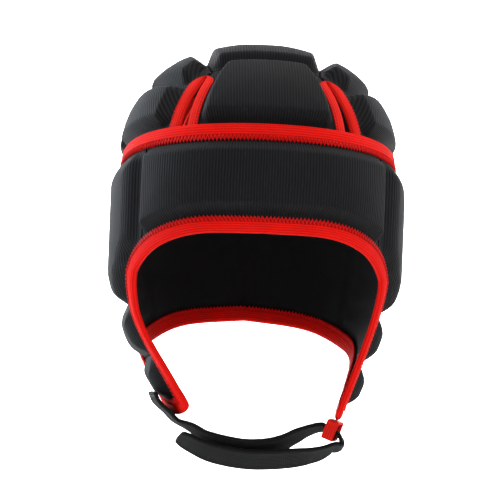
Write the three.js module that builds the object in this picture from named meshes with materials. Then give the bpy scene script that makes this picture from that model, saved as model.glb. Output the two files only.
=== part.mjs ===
// A padded rugby scrum cap: moulded foam pads on a dome-shaped crown and a deep band with two ear
// flaps, red tape bound round every edge and vent, and a soft chin strap that closes on itself.
// Millimetres, +Z up, the face looks along -Y. The origin is the inside of the crown, where the
// top of the head touches. Left and right are the wearer's: left is +X.
import * as THREE from "three";

// The head form that the cap is shaped on
const HEAD_HALF_WIDTH = 80;
const HEAD_HALF_LENGTH = 99;
const HEAD_DOME_HEIGHT = 79.5;
const HEAD_SQUARENESS = 2.4;
const JAW_START_DROP = 136;
const JAW_TAPER_HEIGHT = 72;
const JAW_TAPER = 0.3;
const JAW_TAPER_POWER = 1.1;
const NAPE_START_DROP = 96;
const NAPE_TAPER_HEIGHT = 70;
const NAPE_TAPER = 0.12;
const NAPE_TAPER_END = 1.3;

// The right flap hangs swung in and twisted, as the strap's pull left it
const SWING_ROOT_DROP = 155;
const SWING_TWIST = 14;
const SWING_IN = 5;
const SWING_AXIS_HALF = 50;
const SWING_AXIS_FORWARD = 10;
const SWING_REAR = 60;

// Fabric and foam
const FABRIC = 2;
const CROWN_PAD = 10.5;
const BAND_PAD = 9;
const FLAP_PAD = 9;
const BAND_OFFSET = 4.2;
const BEVEL = 5.5;
const MIN_PLATEAU = 2;
const SEAM_MARGIN = 1.4;
const SEAM_GAP = 0.7;
const CROWN_UNDERLAP = 9;
const FACET = 13;
const TALL_FACET = 20;

// Binding tape, folded over each edge
const TAPE_WIDTH = 9.5;
const VENT_TAPE_WIDTH = 7;
const TAPE_THICKNESS = 0.8;
const TAPE_CLEARANCE = 0.6;
const TAPE_INSET = 2.3;
const TAPE_STEP = 8;
const TAPE_MARGIN = TAPE_WIDTH + 1;
const SLANT_FACTOR = 1.3;
const SLANT_MARGIN = TAPE_MARGIN * SLANT_FACTOR;
const VENT_TAPE_ROOM = 1.2;
const VENT_MARGIN = VENT_TAPE_WIDTH + VENT_TAPE_ROOM;
const HEM_ROOM = 3;
const CROWN_HEM_MARGIN = CROWN_UNDERLAP + TAPE_CLEARANCE + HEM_ROOM;
const GROOVE_MARGIN = 5.4;

// Heights, as drops below the crown seat
const BAND_TOP_DROP = 64;
const BAND_TOP_TILT = 17.5;
const BROW_DROP = 109.5;
const NECK_DROP = 166.5;
const FLAP_DROP = 222;

// Vents between the centre strip and the side strips
const VENT_TOP_HALF = 37;
const VENT_TOP_FORWARD = 60;
const VENT_FOOT_HALF = 50;
const VENT_FOOT_OPEN = 5.5;
const VENT_TOP_OPEN = 1.6;
const VENT_ARCH = 9;
const VENT_FOOT_RISE = 3;
const SIDE_SEAM_SHARE = 0.66;
const SIDE_SEAM_DROP = 20;

// Azimuths, in degrees from the front
const FOREHEAD_EDGE = 46;
const TEMPLE_EDGE = 88;
const EAR_EDGE = 134;

// Chin strap: sewn on the right flap, through a keeper on the left one and back on itself
const STRAP_WIDTH = 25;
const STRAP_THICKNESS = 2.4;
const STRAP_GAP = 0.8;
const STRAP_TURN = 61;
const STRAP_HALF_SPAN = 56;
const STRAP_DROP = 248;
const STRAP_FORWARD = 31;
const STRAP_LEAN = 33;
const STRAP_STEPS = 5;
const STRAP_SEWN_TURN = 5;
const KEEPER_TAPE = 7.5;
const KEEPER_THICKNESS = 1.6;
const KEEPER_EASE = 1.5;
const KEEPER_SLOT = 9.5;
const KEEPER_ROUND = 2.4;
const KEEPER_INNER_ROUND = 0.8;
const KEEPER_GAP = 0.6;
const KEEPER_TURN = 8;
const KEEPER_CORNERS = 16;

const COLOURS = {
  fabric: { color: 0x17181a, roughness: 0.85, metalness: 0 },
  tape: { color: 0xd9180f, roughness: 0.75, metalness: 0 },
  strap: { color: 0x141514, roughness: 0.9, metalness: 0 },
};

const radians = THREE.MathUtils.degToRad;
const vector = (x, y, z) => new THREE.Vector3(x, y, z);

// The half sizes of the head form at a height
function sectionAt(z, back) {
  const jaw = Math.max(0, -z - JAW_START_DROP) / JAW_TAPER_HEIGHT;
  const nape = Math.max(0, -z - NAPE_START_DROP) / NAPE_TAPER_HEIGHT;
  const pull = back ? 1 - NAPE_TAPER * Math.min(NAPE_TAPER_END, nape) ** 2 : 1;
  return {
    width: HEAD_HALF_WIDTH * (1 - JAW_TAPER * jaw ** JAW_TAPER_POWER),
    length: HEAD_HALF_LENGTH * pull,
  };
}

// Zero on the head form, negative inside it
function headField(p) {
  const section = sectionAt(p.z, p.y > 0);
  const up = Math.max(0, p.z + HEAD_DOME_HEIGHT) / HEAD_DOME_HEIGHT;
  const n = HEAD_SQUARENESS;
  const sum = (Math.abs(p.x) / section.width) ** n + (Math.abs(p.y) / section.length) ** n + up ** n;
  return sum ** (1 / n) - 1;
}

const SLOPE_STEP = 0.05;
const SEAT_ROUNDS = 8;

function headGradient(p) {
  const along = (axis) => {
    const more = p.clone();
    const less = p.clone();
    more[axis] += SLOPE_STEP;
    less[axis] -= SLOPE_STEP;
    return (headField(more) - headField(less)) / (2 * SLOPE_STEP);
  };
  return vector(along("x"), along("y"), along("z"));
}

const headNormal = (p) => headGradient(p).normalize();

// Moves a point along the slope of the field until it lies on the head form
function toHead(p) {
  const q = p.clone();
  for (let i = 0; i < SEAT_ROUNDS; i++) {
    const g = headGradient(q);
    q.addScaledVector(g, -headField(q) / g.lengthSq());
  }
  return q;
}

const raised = (p, height) => p.clone().addScaledVector(headNormal(p), height);

// Where a point of the right flap goes as the flap swings and twists: nothing at its root, most at its tip
function swung(p) {
  if (p.x > 0) return p;
  const hang = THREE.MathUtils.smoothstep(-p.z, SWING_ROOT_DROP, FLAP_DROP);
  const share = hang * (1 - THREE.MathUtils.smoothstep(p.y, 0, SWING_REAR));
  const axis = vector(-SWING_AXIS_HALF, -SWING_AXIS_FORWARD, 0);
  const q = p.clone().sub(axis).applyAxisAngle(vector(0, 0, 1), radians(SWING_TWIST * share)).add(axis);
  return q.add(vector(SWING_IN * share, 0, 0));
}

// The point of the head form at an azimuth and a height
function wallPoint(turn, z) {
  const section = sectionAt(z, Math.abs(turn) > 90);
  const up = Math.max(0, z + HEAD_DOME_HEIGHT) / HEAD_DOME_HEIGHT;
  const n = HEAD_SQUARENESS;
  const s = Math.sin(radians(turn));
  const c = Math.cos(radians(turn));
  const spread = (Math.abs(s) / section.width) ** n + (Math.abs(c) / section.length) ** n;
  const r = ((1 - up ** n) / spread) ** (1 / n);
  return vector(r * s, -r * c, z);
}

// The band's top edge lies in a plane that rises to the front
const bandTopHeight = (turn) => -BAND_TOP_DROP + BAND_TOP_TILT * Math.cos(radians(turn));
const bandTop = (turn) => wallPoint(turn, bandTopHeight(turn));
const crownHem = (turn) => wallPoint(turn, bandTopHeight(turn) - CROWN_UNDERLAP);

// The hem from the brow down the face edge, round the flap and back to the neck. drop is a share
// of the way from the brow, or behind the tip from the neck, down to the flap's tip.
const HEM = [
  { name: "brow", turn: 0, from: BROW_DROP, drop: 0 },
  { name: "brow_side", turn: 22, from: BROW_DROP, drop: 0.015 },
  { name: "brow_corner", turn: 36, from: BROW_DROP, drop: 0.08 },
  { name: "temple", turn: 45.5, from: BROW_DROP, drop: 0.165 },
  { name: "cheek_top", turn: 51.5, from: BROW_DROP, drop: 0.25 },
  { name: "cheek", turn: 55.5, from: BROW_DROP, drop: 0.41 },
  { name: "jaw", turn: 56, from: BROW_DROP, drop: 0.55 },
  { name: "jaw_low", turn: 54, from: BROW_DROP, drop: 0.665 },
  { name: "chin", turn: 50, from: BROW_DROP, drop: 0.83 },
  { name: "tip_front", turn: 46, from: BROW_DROP, drop: 0.95 },
  { name: "tip", turn: 60, from: BROW_DROP, drop: 1 },
  { name: "tip_rear", turn: 80, from: NECK_DROP, drop: 0.92 },
  { name: "chin_rear", turn: 90, from: NECK_DROP, drop: 0.7 },
  { name: "jaw_rear", turn: 103, from: NECK_DROP, drop: 0.44 },
  { name: "nape_side", turn: EAR_EDGE, from: NECK_DROP, drop: 0.22 },
  { name: "nape", turn: 155, from: NECK_DROP, drop: 0.07 },
  { name: "neck", turn: 180, from: NECK_DROP, drop: 0 },
];
const hemSpline = new THREE.CatmullRomCurve3(
  HEM.map((row) => vector(row.turn, -THREE.MathUtils.lerp(row.from, FLAP_DROP, row.drop), 0)),
  false,
  "centripetal",
);
const hemRow = (name) => HEM.findIndex((row) => row.name === name);

// A point of the hem, counted in rows of the table
function hemPoint(row) {
  const p = hemSpline.getPoint(row / (HEM.length - 1));
  return wallPoint(p.x, p.y);
}

// Boundary curves, each a function of a share from 0 to 1
const hemCurve = (from, to) => (t) =>
  hemPoint(THREE.MathUtils.lerp(hemRow(from), hemRow(to), t));
const chord = (a, b) => (t) => toHead(a.clone().lerp(b, t));
const bandTopCurve = (from, to) => (t) => bandTop(THREE.MathUtils.lerp(from, to, t));
const crownHemCurve = (from, to) => (t) => crownHem(THREE.MathUtils.lerp(from, to, t));
const reversed = (curve) => (t) => curve(1 - t);
const flipped = (p) => p.clone().multiply(vector(-1, 1, 1));
const backed = (p) => p.clone().multiply(vector(1, -1, 1));
const mirrored = (curve) => (t) => flipped(curve(t));
const rearward = (curve) => (t) => backed(curve(t));

// One curve after another, each with its share of the whole
function chained(first, second, share) {
  return (t) => (t < share ? first(t / share) : second((t - share) / (1 - share)));
}

const LENGTH_STEPS = 12;
const PACING_STEPS = 24;

function curveLength(curve) {
  let length = 0;
  for (let i = 0; i < LENGTH_STEPS; i++) {
    length += curve(i / LENGTH_STEPS).distanceTo(curve((i + 1) / LENGTH_STEPS));
  }
  return length;
}

// The same curve with its share counted along its length
function paced(curve) {
  const steps = PACING_STEPS;
  const run = [0];
  for (let i = 1; i <= steps; i++) {
    run.push(run[i - 1] + curve((i - 1) / steps).distanceTo(curve(i / steps)));
  }
  return (share) => {
    const along = share * run[steps];
    const i = Math.min(steps - 1, Math.max(0, run.findIndex((length) => length > along) - 1));
    const span = share >= 1 ? steps - 1 : i;
    return curve((span + (along - run[span]) / (run[span + 1] - run[span])) / steps);
  };
}

// How far the foam stands back from a side: a number, or one that changes along the side
function marginAt(margin, t) {
  if (typeof margin === "number") return margin;
  const share = THREE.MathUtils.smoothstep(t, margin.until, margin.until + margin.blend);
  return THREE.MathUtils.lerp(margin.low, margin.high, share);
}

// The fabric's own edge: half a seam gap in, or further in where tape is folded over it
function insetOf(margin) {
  const taped = THREE.MathUtils.smoothstep(margin, GROOVE_MARGIN, VENT_MARGIN);
  const slanted = Math.max(1, margin / TAPE_MARGIN);
  return THREE.MathUtils.lerp(SEAM_GAP / 2, TAPE_INSET * slanted, taped);
}

// Grid lines across a pad: the fabric's edge, the foam's foot, the bevel, and even steps between
function gridLines(length, startMargin, endMargin, steps) {
  const room = startMargin + endMargin + 2 * BEVEL + MIN_PLATEAU;
  const squeeze = Math.min(1, length / room);
  const foot = (startMargin + BEVEL) * squeeze;
  const head = length - (endMargin + BEVEL) * squeeze;
  const lines = [
    { at: insetOf(startMargin), rise: 0 },
    { at: startMargin * squeeze, rise: 0 },
  ];
  for (let i = 0; i <= steps; i++) lines.push({ at: THREE.MathUtils.lerp(foot, head, i / steps), rise: 1 });
  lines.push(
    { at: length - endMargin * squeeze, rise: 0 },
    { at: length - insetOf(endMargin), rise: 0 },
  );
  return lines.map((line) => ({ share: line.at / length, rise: line.rise }));
}

const stepsAcross = (length, facet) => Math.max(1, Math.round((length - 3 * BEVEL) / facet));

// A pad between four boundary curves: low and high run from left to right, left and right upwards
function padGeometry({ margins, inner, thickness, tall, ...sides }) {
  const [low, high, left, right] = [sides.low, sides.high, sides.left, sides.right].map(paced);
  const corners = [low(0), low(1), high(0), high(1)];
  const blended = (s, t) => {
    const p = low(s).multiplyScalar(1 - t).addScaledVector(high(s), t);
    p.addScaledVector(left(t), 1 - s).addScaledVector(right(t), s);
    p.addScaledVector(corners[0], -(1 - s) * (1 - t)).addScaledVector(corners[1], -s * (1 - t));
    return p.addScaledVector(corners[2], -(1 - s) * t).addScaledVector(corners[3], -s * t);
  };
  const across = (t) => curveLength((s) => blended(s, t));
  const upward = (s) => curveLength((t) => blended(s, t));
  const columnSteps = stepsAcross(across(0.5), FACET);
  const rowSteps = stepsAcross(upward(0.5), tall ?? TALL_FACET);
  const columnsAt = (t) =>
    gridLines(across(t), marginAt(margins.left, t), marginAt(margins.right, t), columnSteps);
  const rowsAt = (s) => gridLines(upward(s), marginAt(margins.low, s), marginAt(margins.high, s), rowSteps);
  const middleRows = rowsAt(0.5);
  const positions = [];
  for (const outside of [true, false]) {
    middleRows.forEach((middleRow, j) => {
      for (const column of columnsAt(middleRow.share)) {
        const row = rowsAt(column.share)[j];
        const p = toHead(blended(column.share, row.share));
        const rise = Math.min(row.rise, column.rise);
        const top = inner + FABRIC + (thickness - FABRIC) * rise;
        positions.push(...swung(raised(p, outside ? top : inner)).toArray());
      }
    });
  }
  return closedGrid(positions, columnsAt(0).length, middleRows.length);
}

// Two grids of points, outer then inner, closed along their four sides
function closedGrid(positions, columns, rows) {
  const layer = columns * rows;
  const index = [];
  const quad = (a, b, c, d) => index.push(a, b, c, a, c, d);
  const at = (i, j) => j * columns + i;
  for (let j = 0; j < rows - 1; j++) {
    for (let i = 0; i < columns - 1; i++) {
      quad(at(i, j), at(i + 1, j), at(i + 1, j + 1), at(i, j + 1));
      quad(layer + at(i, j), layer + at(i, j + 1), layer + at(i + 1, j + 1), layer + at(i + 1, j));
    }
  }
  for (let i = 0; i < columns - 1; i++) {
    quad(at(i, 0), layer + at(i, 0), layer + at(i + 1, 0), at(i + 1, 0));
    quad(at(i + 1, rows - 1), layer + at(i + 1, rows - 1), layer + at(i, rows - 1), at(i, rows - 1));
  }
  for (let j = 0; j < rows - 1; j++) {
    quad(at(0, j + 1), layer + at(0, j + 1), layer + at(0, j), at(0, j));
    const last = columns - 1;
    quad(at(last, j), layer + at(last, j), layer + at(last, j + 1), at(last, j + 1));
  }
  return indexed(positions, index);
}

// A closed geometry, turned the right way round if its faces point inwards
function indexed(positions, index) {
  const geometry = new THREE.BufferGeometry();
  geometry.setAttribute("position", new THREE.Float32BufferAttribute(positions, 3));
  let volume = 0;
  const p = [0, 1, 2].map(() => vector(0, 0, 0));
  for (let i = 0; i < index.length; i += 3) {
    p.forEach((corner, k) => corner.fromArray(positions, index[i + k] * 3));
    volume += p[0].dot(p[1].clone().cross(p[2]));
  }
  const turned = volume < 0 ? index.slice().reverse() : index;
  geometry.setIndex(turned);
  geometry.computeVertexNormals();
  return geometry;
}

// Sweeps a section through rings of points; each ring has the same number of corners
function sweptGeometry(rings, closed) {
  const corners = rings[0].length;
  const positions = rings.flatMap((ring) => ring.flatMap((p) => p.toArray()));
  const index = [];
  const spans = closed ? rings.length : rings.length - 1;
  for (let k = 0; k < spans; k++) {
    const here = k * corners;
    const next = ((k + 1) % rings.length) * corners;
    for (let i = 0; i < corners; i++) {
      const j = (i + 1) % corners;
      index.push(here + i, next + i, next + j, here + i, next + j, here + j);
    }
  }
  if (!closed) {
    const flat = THREE.ShapeUtils.triangulateShape(flattened(rings[0]), []);
    const last = (rings.length - 1) * corners;
    for (const [a, b, c] of flat) index.push(a, b, c, last + a, last + c, last + b);
  }
  return indexed(positions, index);
}

// A ring of points seen along its own normal, as a flat outline
function flattened(ring) {
  const u = ring[1].clone().sub(ring[0]).normalize();
  const n = vector(0, 0, 0);
  ring.forEach((p, i) => {
    const after = ring[(i + 1) % ring.length].clone().sub(ring[0]);
    n.add(p.clone().sub(ring[0]).cross(after));
  });
  const v = n.normalize().cross(u);
  return ring.map((p) => {
    const d = p.clone().sub(ring[0]);
    return new THREE.Vector2(d.dot(u), d.dot(v));
  });
}

// Tape folded over a fabric edge: path runs along the edge, and inward points into the fabric
function bindingGeometry(path, closed, inward, inner, width) {
  const low = inner - TAPE_CLEARANCE;
  const high = inner + FABRIC + TAPE_CLEARANCE;
  const rings = path.map((p, k) => {
    const before = path[closed ? (k - 1 + path.length) % path.length : Math.max(0, k - 1)];
    const after = path[closed ? (k + 1) % path.length : Math.min(path.length - 1, k + 1)];
    const tangent = after.clone().sub(before).normalize();
    const side = tangent.cross(headNormal(p)).multiplyScalar(inward).normalize();
    const fold = toHead(p.clone().addScaledVector(side, TAPE_THICKNESS));
    const reach = toHead(p.clone().addScaledVector(side, width));
    return [
      raised(reach, high + TAPE_THICKNESS),
      raised(p, high + TAPE_THICKNESS),
      raised(p, low - TAPE_THICKNESS),
      raised(reach, low - TAPE_THICKNESS),
      raised(reach, low),
      raised(fold, low),
      raised(fold, high),
      raised(reach, high),
    ].map(swung);
  });
  return sweptGeometry(rings, closed);
}

// Even points along a curve
function evenly(curve, step, closed) {
  const count = Math.max(1, Math.round(curveLength(curve) / step));
  const points = [];
  for (let i = 0; i < (closed ? count : count + 1); i++) points.push(curve(i / count));
  return points;
}

function piece(name, geometry, look) {
  const mesh = new THREE.Mesh(geometry, new THREE.MeshStandardMaterial(COLOURS[look]));
  mesh.name = name;
  return mesh;
}

// The crown's corners on the left half, at the front; the rear is the same with y turned round
const ventTop = toHead(vector(VENT_TOP_HALF, -VENT_TOP_FORWARD, 0));
const crownMiddle = toHead(vector(VENT_TOP_HALF, 0, 0));
const seamMiddle = toHead(vector(HEAD_HALF_WIDTH, 0, -SIDE_SEAM_DROP));
const turnOf = (p) => THREE.MathUtils.radToDeg(Math.atan2(p.x, -p.y));

const HEM_TURN_START = 30;
const HEM_TURN_ROUNDS = 20;
const HEM_TURN_PER_MM = 0.6;

// The azimuth at which the crown's hem lies this far to the side
function hemTurn(x) {
  let turn = HEM_TURN_START;
  for (let i = 0; i < HEM_TURN_ROUNDS; i++) turn += (x - crownHem(turn).x) * HEM_TURN_PER_MM;
  return turn;
}
const ventInnerTurn = hemTurn(VENT_FOOT_HALF - VENT_FOOT_OPEN / 2);
const ventOuterTurn = hemTurn(VENT_FOOT_HALF + VENT_FOOT_OPEN / 2);
const ventInnerTop = toHead(ventTop.clone().add(vector(-VENT_TOP_OPEN / 2, 0, 0)));
const ventOuterTop = toHead(ventTop.clone().add(vector(VENT_TOP_OPEN / 2, 0, 0)));
const ventInner = chord(crownHem(ventInnerTurn), ventInnerTop);
const ventOuter = chord(crownHem(ventOuterTurn), ventOuterTop);

// The crown's hem at the rear, where the band is lower
const rearFoot = (turn) => crownHem(180 - turn);
const rearInner = chord(rearFoot(ventInnerTurn), backed(ventInnerTop));
const rearOuter = chord(rearFoot(ventOuterTurn), backed(ventOuterTop));

const seamMargins = { left: SEAM_MARGIN, right: SEAM_MARGIN, low: SEAM_MARGIN, high: SEAM_MARGIN };
const crownBase = { inner: 0, thickness: CROWN_PAD };

// Centre strip: a pad above each vent foot at the front and rear, and two on the top
function crownCentre() {
  const topFront = chord(flipped(ventInnerTop), ventInnerTop);
  const topRear = rearward(topFront);
  const middle = chord(flipped(crownMiddle), crownMiddle);
  const sideFront = chord(ventInnerTop, crownMiddle);
  const sideRear = chord(crownMiddle, backed(ventInnerTop));
  const pads = {
    crown_front_pad: {
      low: crownHemCurve(-ventInnerTurn, ventInnerTurn),
      high: topFront,
      left: mirrored(ventInner),
      right: ventInner,
      margins: { left: VENT_MARGIN, right: VENT_MARGIN, low: CROWN_HEM_MARGIN, high: SEAM_MARGIN },
    },
    crown_top_front_pad: {
      low: topFront,
      high: middle,
      left: mirrored(sideFront),
      right: sideFront,
      margins: seamMargins,
    },
    crown_top_rear_pad: {
      low: middle,
      high: topRear,
      left: mirrored(sideRear),
      right: sideRear,
      margins: seamMargins,
    },
    crown_rear_pad: {
      low: crownHemCurve(180 - ventInnerTurn, 180 + ventInnerTurn),
      high: reversed(topRear),
      left: rearInner,
      right: mirrored(rearInner),
      margins: { left: VENT_MARGIN, right: VENT_MARGIN, low: CROWN_HEM_MARGIN, high: SEAM_MARGIN },
    },
  };
  return Object.entries(pads).map(([name, pad]) =>
    piece(name, padGeometry({ ...crownBase, tall: FACET, ...pad }), "fabric"),
  );
}

// Side strip of the left half: an upper and a lower pad at the front and at the rear
function crownSidePads() {
  const seamFoot = ventOuter(SIDE_SEAM_SHARE);
  const rearSeamFoot = rearOuter(SIDE_SEAM_SHARE);
  const rearTop = backed(ventOuterTop);
  const part = (curve, from, to) => (t) => curve(THREE.MathUtils.lerp(from, to, t));
  const seamFront = chord(seamFoot, seamMiddle);
  const seamRear = chord(seamMiddle, rearSeamFoot);
  const lowerMiddle = chord(crownHem(90), seamMiddle);
  const upperMiddle = chord(seamMiddle, crownMiddle);
  return {
    upper_front: {
      low: seamFront,
      high: chord(ventOuterTop, crownMiddle),
      left: part(ventOuter, SIDE_SEAM_SHARE, 1),
      right: upperMiddle,
      margins: { ...seamMargins, left: VENT_MARGIN },
    },
    upper_rear: {
      low: seamRear,
      high: chord(crownMiddle, rearTop),
      left: upperMiddle,
      right: part(rearOuter, SIDE_SEAM_SHARE, 1),
      margins: { ...seamMargins, right: VENT_MARGIN },
    },
    lower_front: {
      low: crownHemCurve(ventOuterTurn, 90),
      high: seamFront,
      left: part(ventOuter, 0, SIDE_SEAM_SHARE),
      right: lowerMiddle,
      margins: { ...seamMargins, left: VENT_MARGIN, low: CROWN_HEM_MARGIN },
    },
    lower_rear: {
      low: crownHemCurve(90, 180 - ventOuterTurn),
      high: seamRear,
      left: lowerMiddle,
      right: part(rearOuter, 0, SIDE_SEAM_SHARE),
      margins: { ...seamMargins, right: VENT_MARGIN, low: CROWN_HEM_MARGIN },
    },
  };
}

// Band pads of the left half, with the flap's two pads
function bandPads() {
  const cheek = hemCurve("temple", "cheek")(1);
  const earLow = wallPoint(TEMPLE_EDGE, cheek.z);
  const napeLow = hemCurve("jaw_rear", "nape_side")(1);
  const earRear = wallPoint(EAR_EDGE, cheek.z);
  const jawFront = hemPoint(hemRow("jaw_low"));
  const jawRear = hemPoint(hemRow("jaw_rear"));
  const upright = (turn, foot) => (t) =>
    wallPoint(turn, THREE.MathUtils.lerp(foot, bandTopHeight(turn), t));
  const level = (a, b) => (t) =>
    wallPoint(THREE.MathUtils.lerp(turnOf(a), turnOf(b), t), THREE.MathUtils.lerp(a.z, b.z, t));
  return {
    temple_pad: {
      low: level(cheek, earLow),
      high: bandTopCurve(FOREHEAD_EDGE, TEMPLE_EDGE),
      left: chained(hemCurve("cheek", "temple"), foreheadSide, 0.35),
      right: upright(TEMPLE_EDGE, earLow.z),
      margins: {
        left: { low: SLANT_MARGIN, high: GROOVE_MARGIN, until: 0.32, blend: 0.12 },
        right: SEAM_MARGIN,
        low: SEAM_MARGIN,
        high: TAPE_MARGIN,
      },
      tall: FACET,
    },
    ear_pad: {
      low: level(earLow, earRear),
      high: bandTopCurve(TEMPLE_EDGE, EAR_EDGE),
      left: upright(TEMPLE_EDGE, earLow.z),
      right: upright(EAR_EDGE, earRear.z),
      margins: { ...seamMargins, high: TAPE_MARGIN },
    },
    back_pad: {
      low: hemCurve("nape_side", "neck"),
      high: bandTopCurve(EAR_EDGE, 180),
      left: upright(EAR_EDGE, napeLow.z),
      right: upright(180, -NECK_DROP),
      margins: { ...seamMargins, low: TAPE_MARGIN, high: TAPE_MARGIN },
    },
    jaw_pad: {
      low: chained(level(jawFront, jawRear), hemCurve("jaw_rear", "nape_side"), 0.58),
      high: level(cheek, earRear),
      left: hemCurve("jaw_low", "cheek"),
      right: level(napeLow, earRear),
      margins: {
        left: TAPE_MARGIN,
        right: SEAM_MARGIN,
        low: { low: SEAM_MARGIN, high: SLANT_MARGIN, until: 0.42, blend: 0.12 },
        high: SEAM_MARGIN,
      },
      thickness: FLAP_PAD,
    },
    chin_pad: {
      low: hemCurve("tip_front", "tip_rear"),
      high: level(jawFront, jawRear),
      left: hemCurve("tip_front", "jaw_low"),
      right: hemCurve("tip_rear", "jaw_rear"),
      margins: { left: SLANT_MARGIN, right: SLANT_MARGIN, low: SLANT_MARGIN, high: SEAM_MARGIN },
      thickness: FLAP_PAD,
    },
  };
}

// A margin along a side that runs the other way
function turnedMargin(margin) {
  if (typeof margin === "number") return margin;
  const { low, high, until, blend } = margin;
  return { low: high, high: low, until: 1 - until - blend, blend };
}

function mirroredPad(pad) {
  return {
    ...pad,
    low: reversed(mirrored(pad.low)),
    high: reversed(mirrored(pad.high)),
    left: mirrored(pad.right),
    right: mirrored(pad.left),
    margins: {
      left: pad.margins.right,
      right: pad.margins.left,
      low: turnedMargin(pad.margins.low),
      high: pad.margins.high,
    },
  };
}

function pairedPads(pads, prefix, base) {
  return Object.entries(pads).flatMap(([name, pad]) => [
    piece(`${prefix}${name}_left`, padGeometry({ ...base, ...pad }), "fabric"),
    piece(`${prefix}${name}_right`, padGeometry({ ...base, ...mirroredPad(pad) }), "fabric"),
  ]);
}

const foreheadPad = () => ({
  low: (t) => hemSigned(THREE.MathUtils.lerp(-hemRow("temple"), hemRow("temple"), t)),
  high: bandTopCurve(-FOREHEAD_EDGE, FOREHEAD_EDGE),
  left: mirrored(foreheadSide),
  right: foreheadSide,
  margins: { left: SEAM_MARGIN, right: SEAM_MARGIN, low: SLANT_MARGIN, high: TAPE_MARGIN },
});

// The hem counted in rows of the table, negative on the right half
const hemSigned = (row) => (row < 0 ? flipped(hemPoint(-row)) : hemPoint(row));

function foreheadSide(t) {
  const temple = hemPoint(hemRow("temple"));
  const top = bandTopHeight(FOREHEAD_EDGE);
  return wallPoint(FOREHEAD_EDGE, THREE.MathUtils.lerp(temple.z, top, t));
}

// The band's top tape, and the hem's tape round the face, both flaps and the neck
function bandBindings() {
  const round = evenly((t) => bandTop(360 * t), TAPE_STEP, true);
  const half = HEM.slice(1).flatMap((row, i) => {
    return evenly((t) => hemPoint(i + t), TAPE_STEP, false).slice(1);
  });
  const hem = [hemPoint(0), ...half, ...half.slice(0, -1).map(flipped).reverse()];
  return [
    piece("band_top_binding", bindingGeometry(round, true, 1, BAND_OFFSET, TAPE_WIDTH), "tape"),
    piece("hem_binding", bindingGeometry(hem, true, -1, BAND_OFFSET, TAPE_WIDTH), "tape"),
  ];
}

// Tape up one side of a vent, over its rounded top and down the other side
function ventBinding(name, inner, outer) {
  const length = curveLength(inner);
  const foot = (CROWN_UNDERLAP + VENT_FOOT_RISE) / length;
  const top = 1 - VENT_ARCH / length;
  const leg = (curve) => evenly((t) => curve(THREE.MathUtils.lerp(foot, top, t)), TAPE_STEP, false);
  const rise = inner(top).sub(inner(foot)).normalize();
  const middle = inner(top).lerp(outer(top), 0.5);
  const across = outer(top).sub(inner(top)).multiplyScalar(0.5);
  const arch = [0.25, 0.5, 0.75].map((share) => {
    const p = middle.clone().addScaledVector(across, -Math.cos(Math.PI * share));
    return toHead(p.addScaledVector(rise, across.length() * Math.sin(Math.PI * share)));
  });
  const path = [...leg(inner), ...arch, ...leg(outer).reverse()];
  const inward = across.x * path[0].y > 0 ? 1 : -1;
  return piece(name, bindingGeometry(path, false, inward, 0, VENT_TAPE_WIDTH), "tape");
}

// The frame of a strap's end on a flap: across runs forward, down runs along the wall and out away
// from the head, turned to the face by an angle. height is from the head form to the frame's origin.
function flapFrame(hand, turn, height) {
  const tip = wallPoint(hand * STRAP_TURN, -FLAP_DROP);
  const wall = headNormal(tip);
  const forward = vector(0, -1, 0).addScaledVector(wall, wall.y).normalize();
  const down = forward.clone().cross(wall).normalize();
  if (down.z > 0) down.negate();
  const [c, s] = [Math.cos(radians(turn)), Math.sin(radians(turn))];
  const across = forward.clone().multiplyScalar(c).addScaledVector(wall, -s);
  const out = wall.clone().multiplyScalar(c).addScaledVector(forward, s);
  const seat = swung(raised(tip, height));
  const at = (ahead, low, high) =>
    seat.clone().addScaledVector(across, ahead).addScaledVector(down, low).addScaledVector(out, high);
  return { across, down, at };
}

// The right flap's frame lies on its tape, the left one's in the tape's middle
const tapeTop = BAND_OFFSET + FABRIC + TAPE_CLEARANCE + TAPE_THICKNESS;
const rightFrame = flapFrame(-1, STRAP_SEWN_TURN, tapeTop + STRAP_GAP);
const leftFrame = flapFrame(1, KEEPER_TURN, BAND_OFFSET + FABRIC / 2);

// Corners of a rounded oblong, anticlockwise from the right
function roundedOblong(halfWidth, halfHeight, radius) {
  return Array.from({ length: KEEPER_CORNERS }, (_, i) => {
    const angle = ((i + 0.5) / KEEPER_CORNERS) * 2 * Math.PI;
    const [c, s] = [Math.cos(angle), Math.sin(angle)];
    return [
      Math.sign(c) * (halfWidth - radius) + radius * c,
      Math.sign(s) * (halfHeight - radius) + radius * s,
    ];
  });
}

// A loop of tape that hangs from the left flap's tip
function keeperGeometry() {
  const halfWidth = STRAP_WIDTH / 2 + KEEPER_EASE;
  const halfHeight = KEEPER_SLOT / 2;
  const inside = roundedOblong(halfWidth, halfHeight, KEEPER_INNER_ROUND);
  const outside = roundedOblong(halfWidth + KEEPER_THICKNESS, halfHeight + KEEPER_THICKNESS, KEEPER_ROUND);
  const middle = KEEPER_GAP + KEEPER_THICKNESS + halfHeight;
  const half = KEEPER_TAPE / 2;
  const rings = inside.map(([u, v], i) => [
    leftFrame.at(u, middle + v, -half),
    leftFrame.at(u, middle + v, half),
    leftFrame.at(outside[i][0], middle + outside[i][1], half),
    leftFrame.at(outside[i][0], middle + outside[i][1], -half),
  ]);
  return sweptGeometry(rings, true);
}

// How the strap lies on the right flap: low is along the wall from the tip, high is out from the tape
const STRAP_END = [
  { name: "sewn_end", low: -19, high: 6.8 },
  { name: "over_pad", low: -12.5, high: 6.6 },
  { name: "past_tip", low: -3, high: 1 },
  { name: "below_tip", low: 2.8, high: -1.6 },
];

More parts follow.
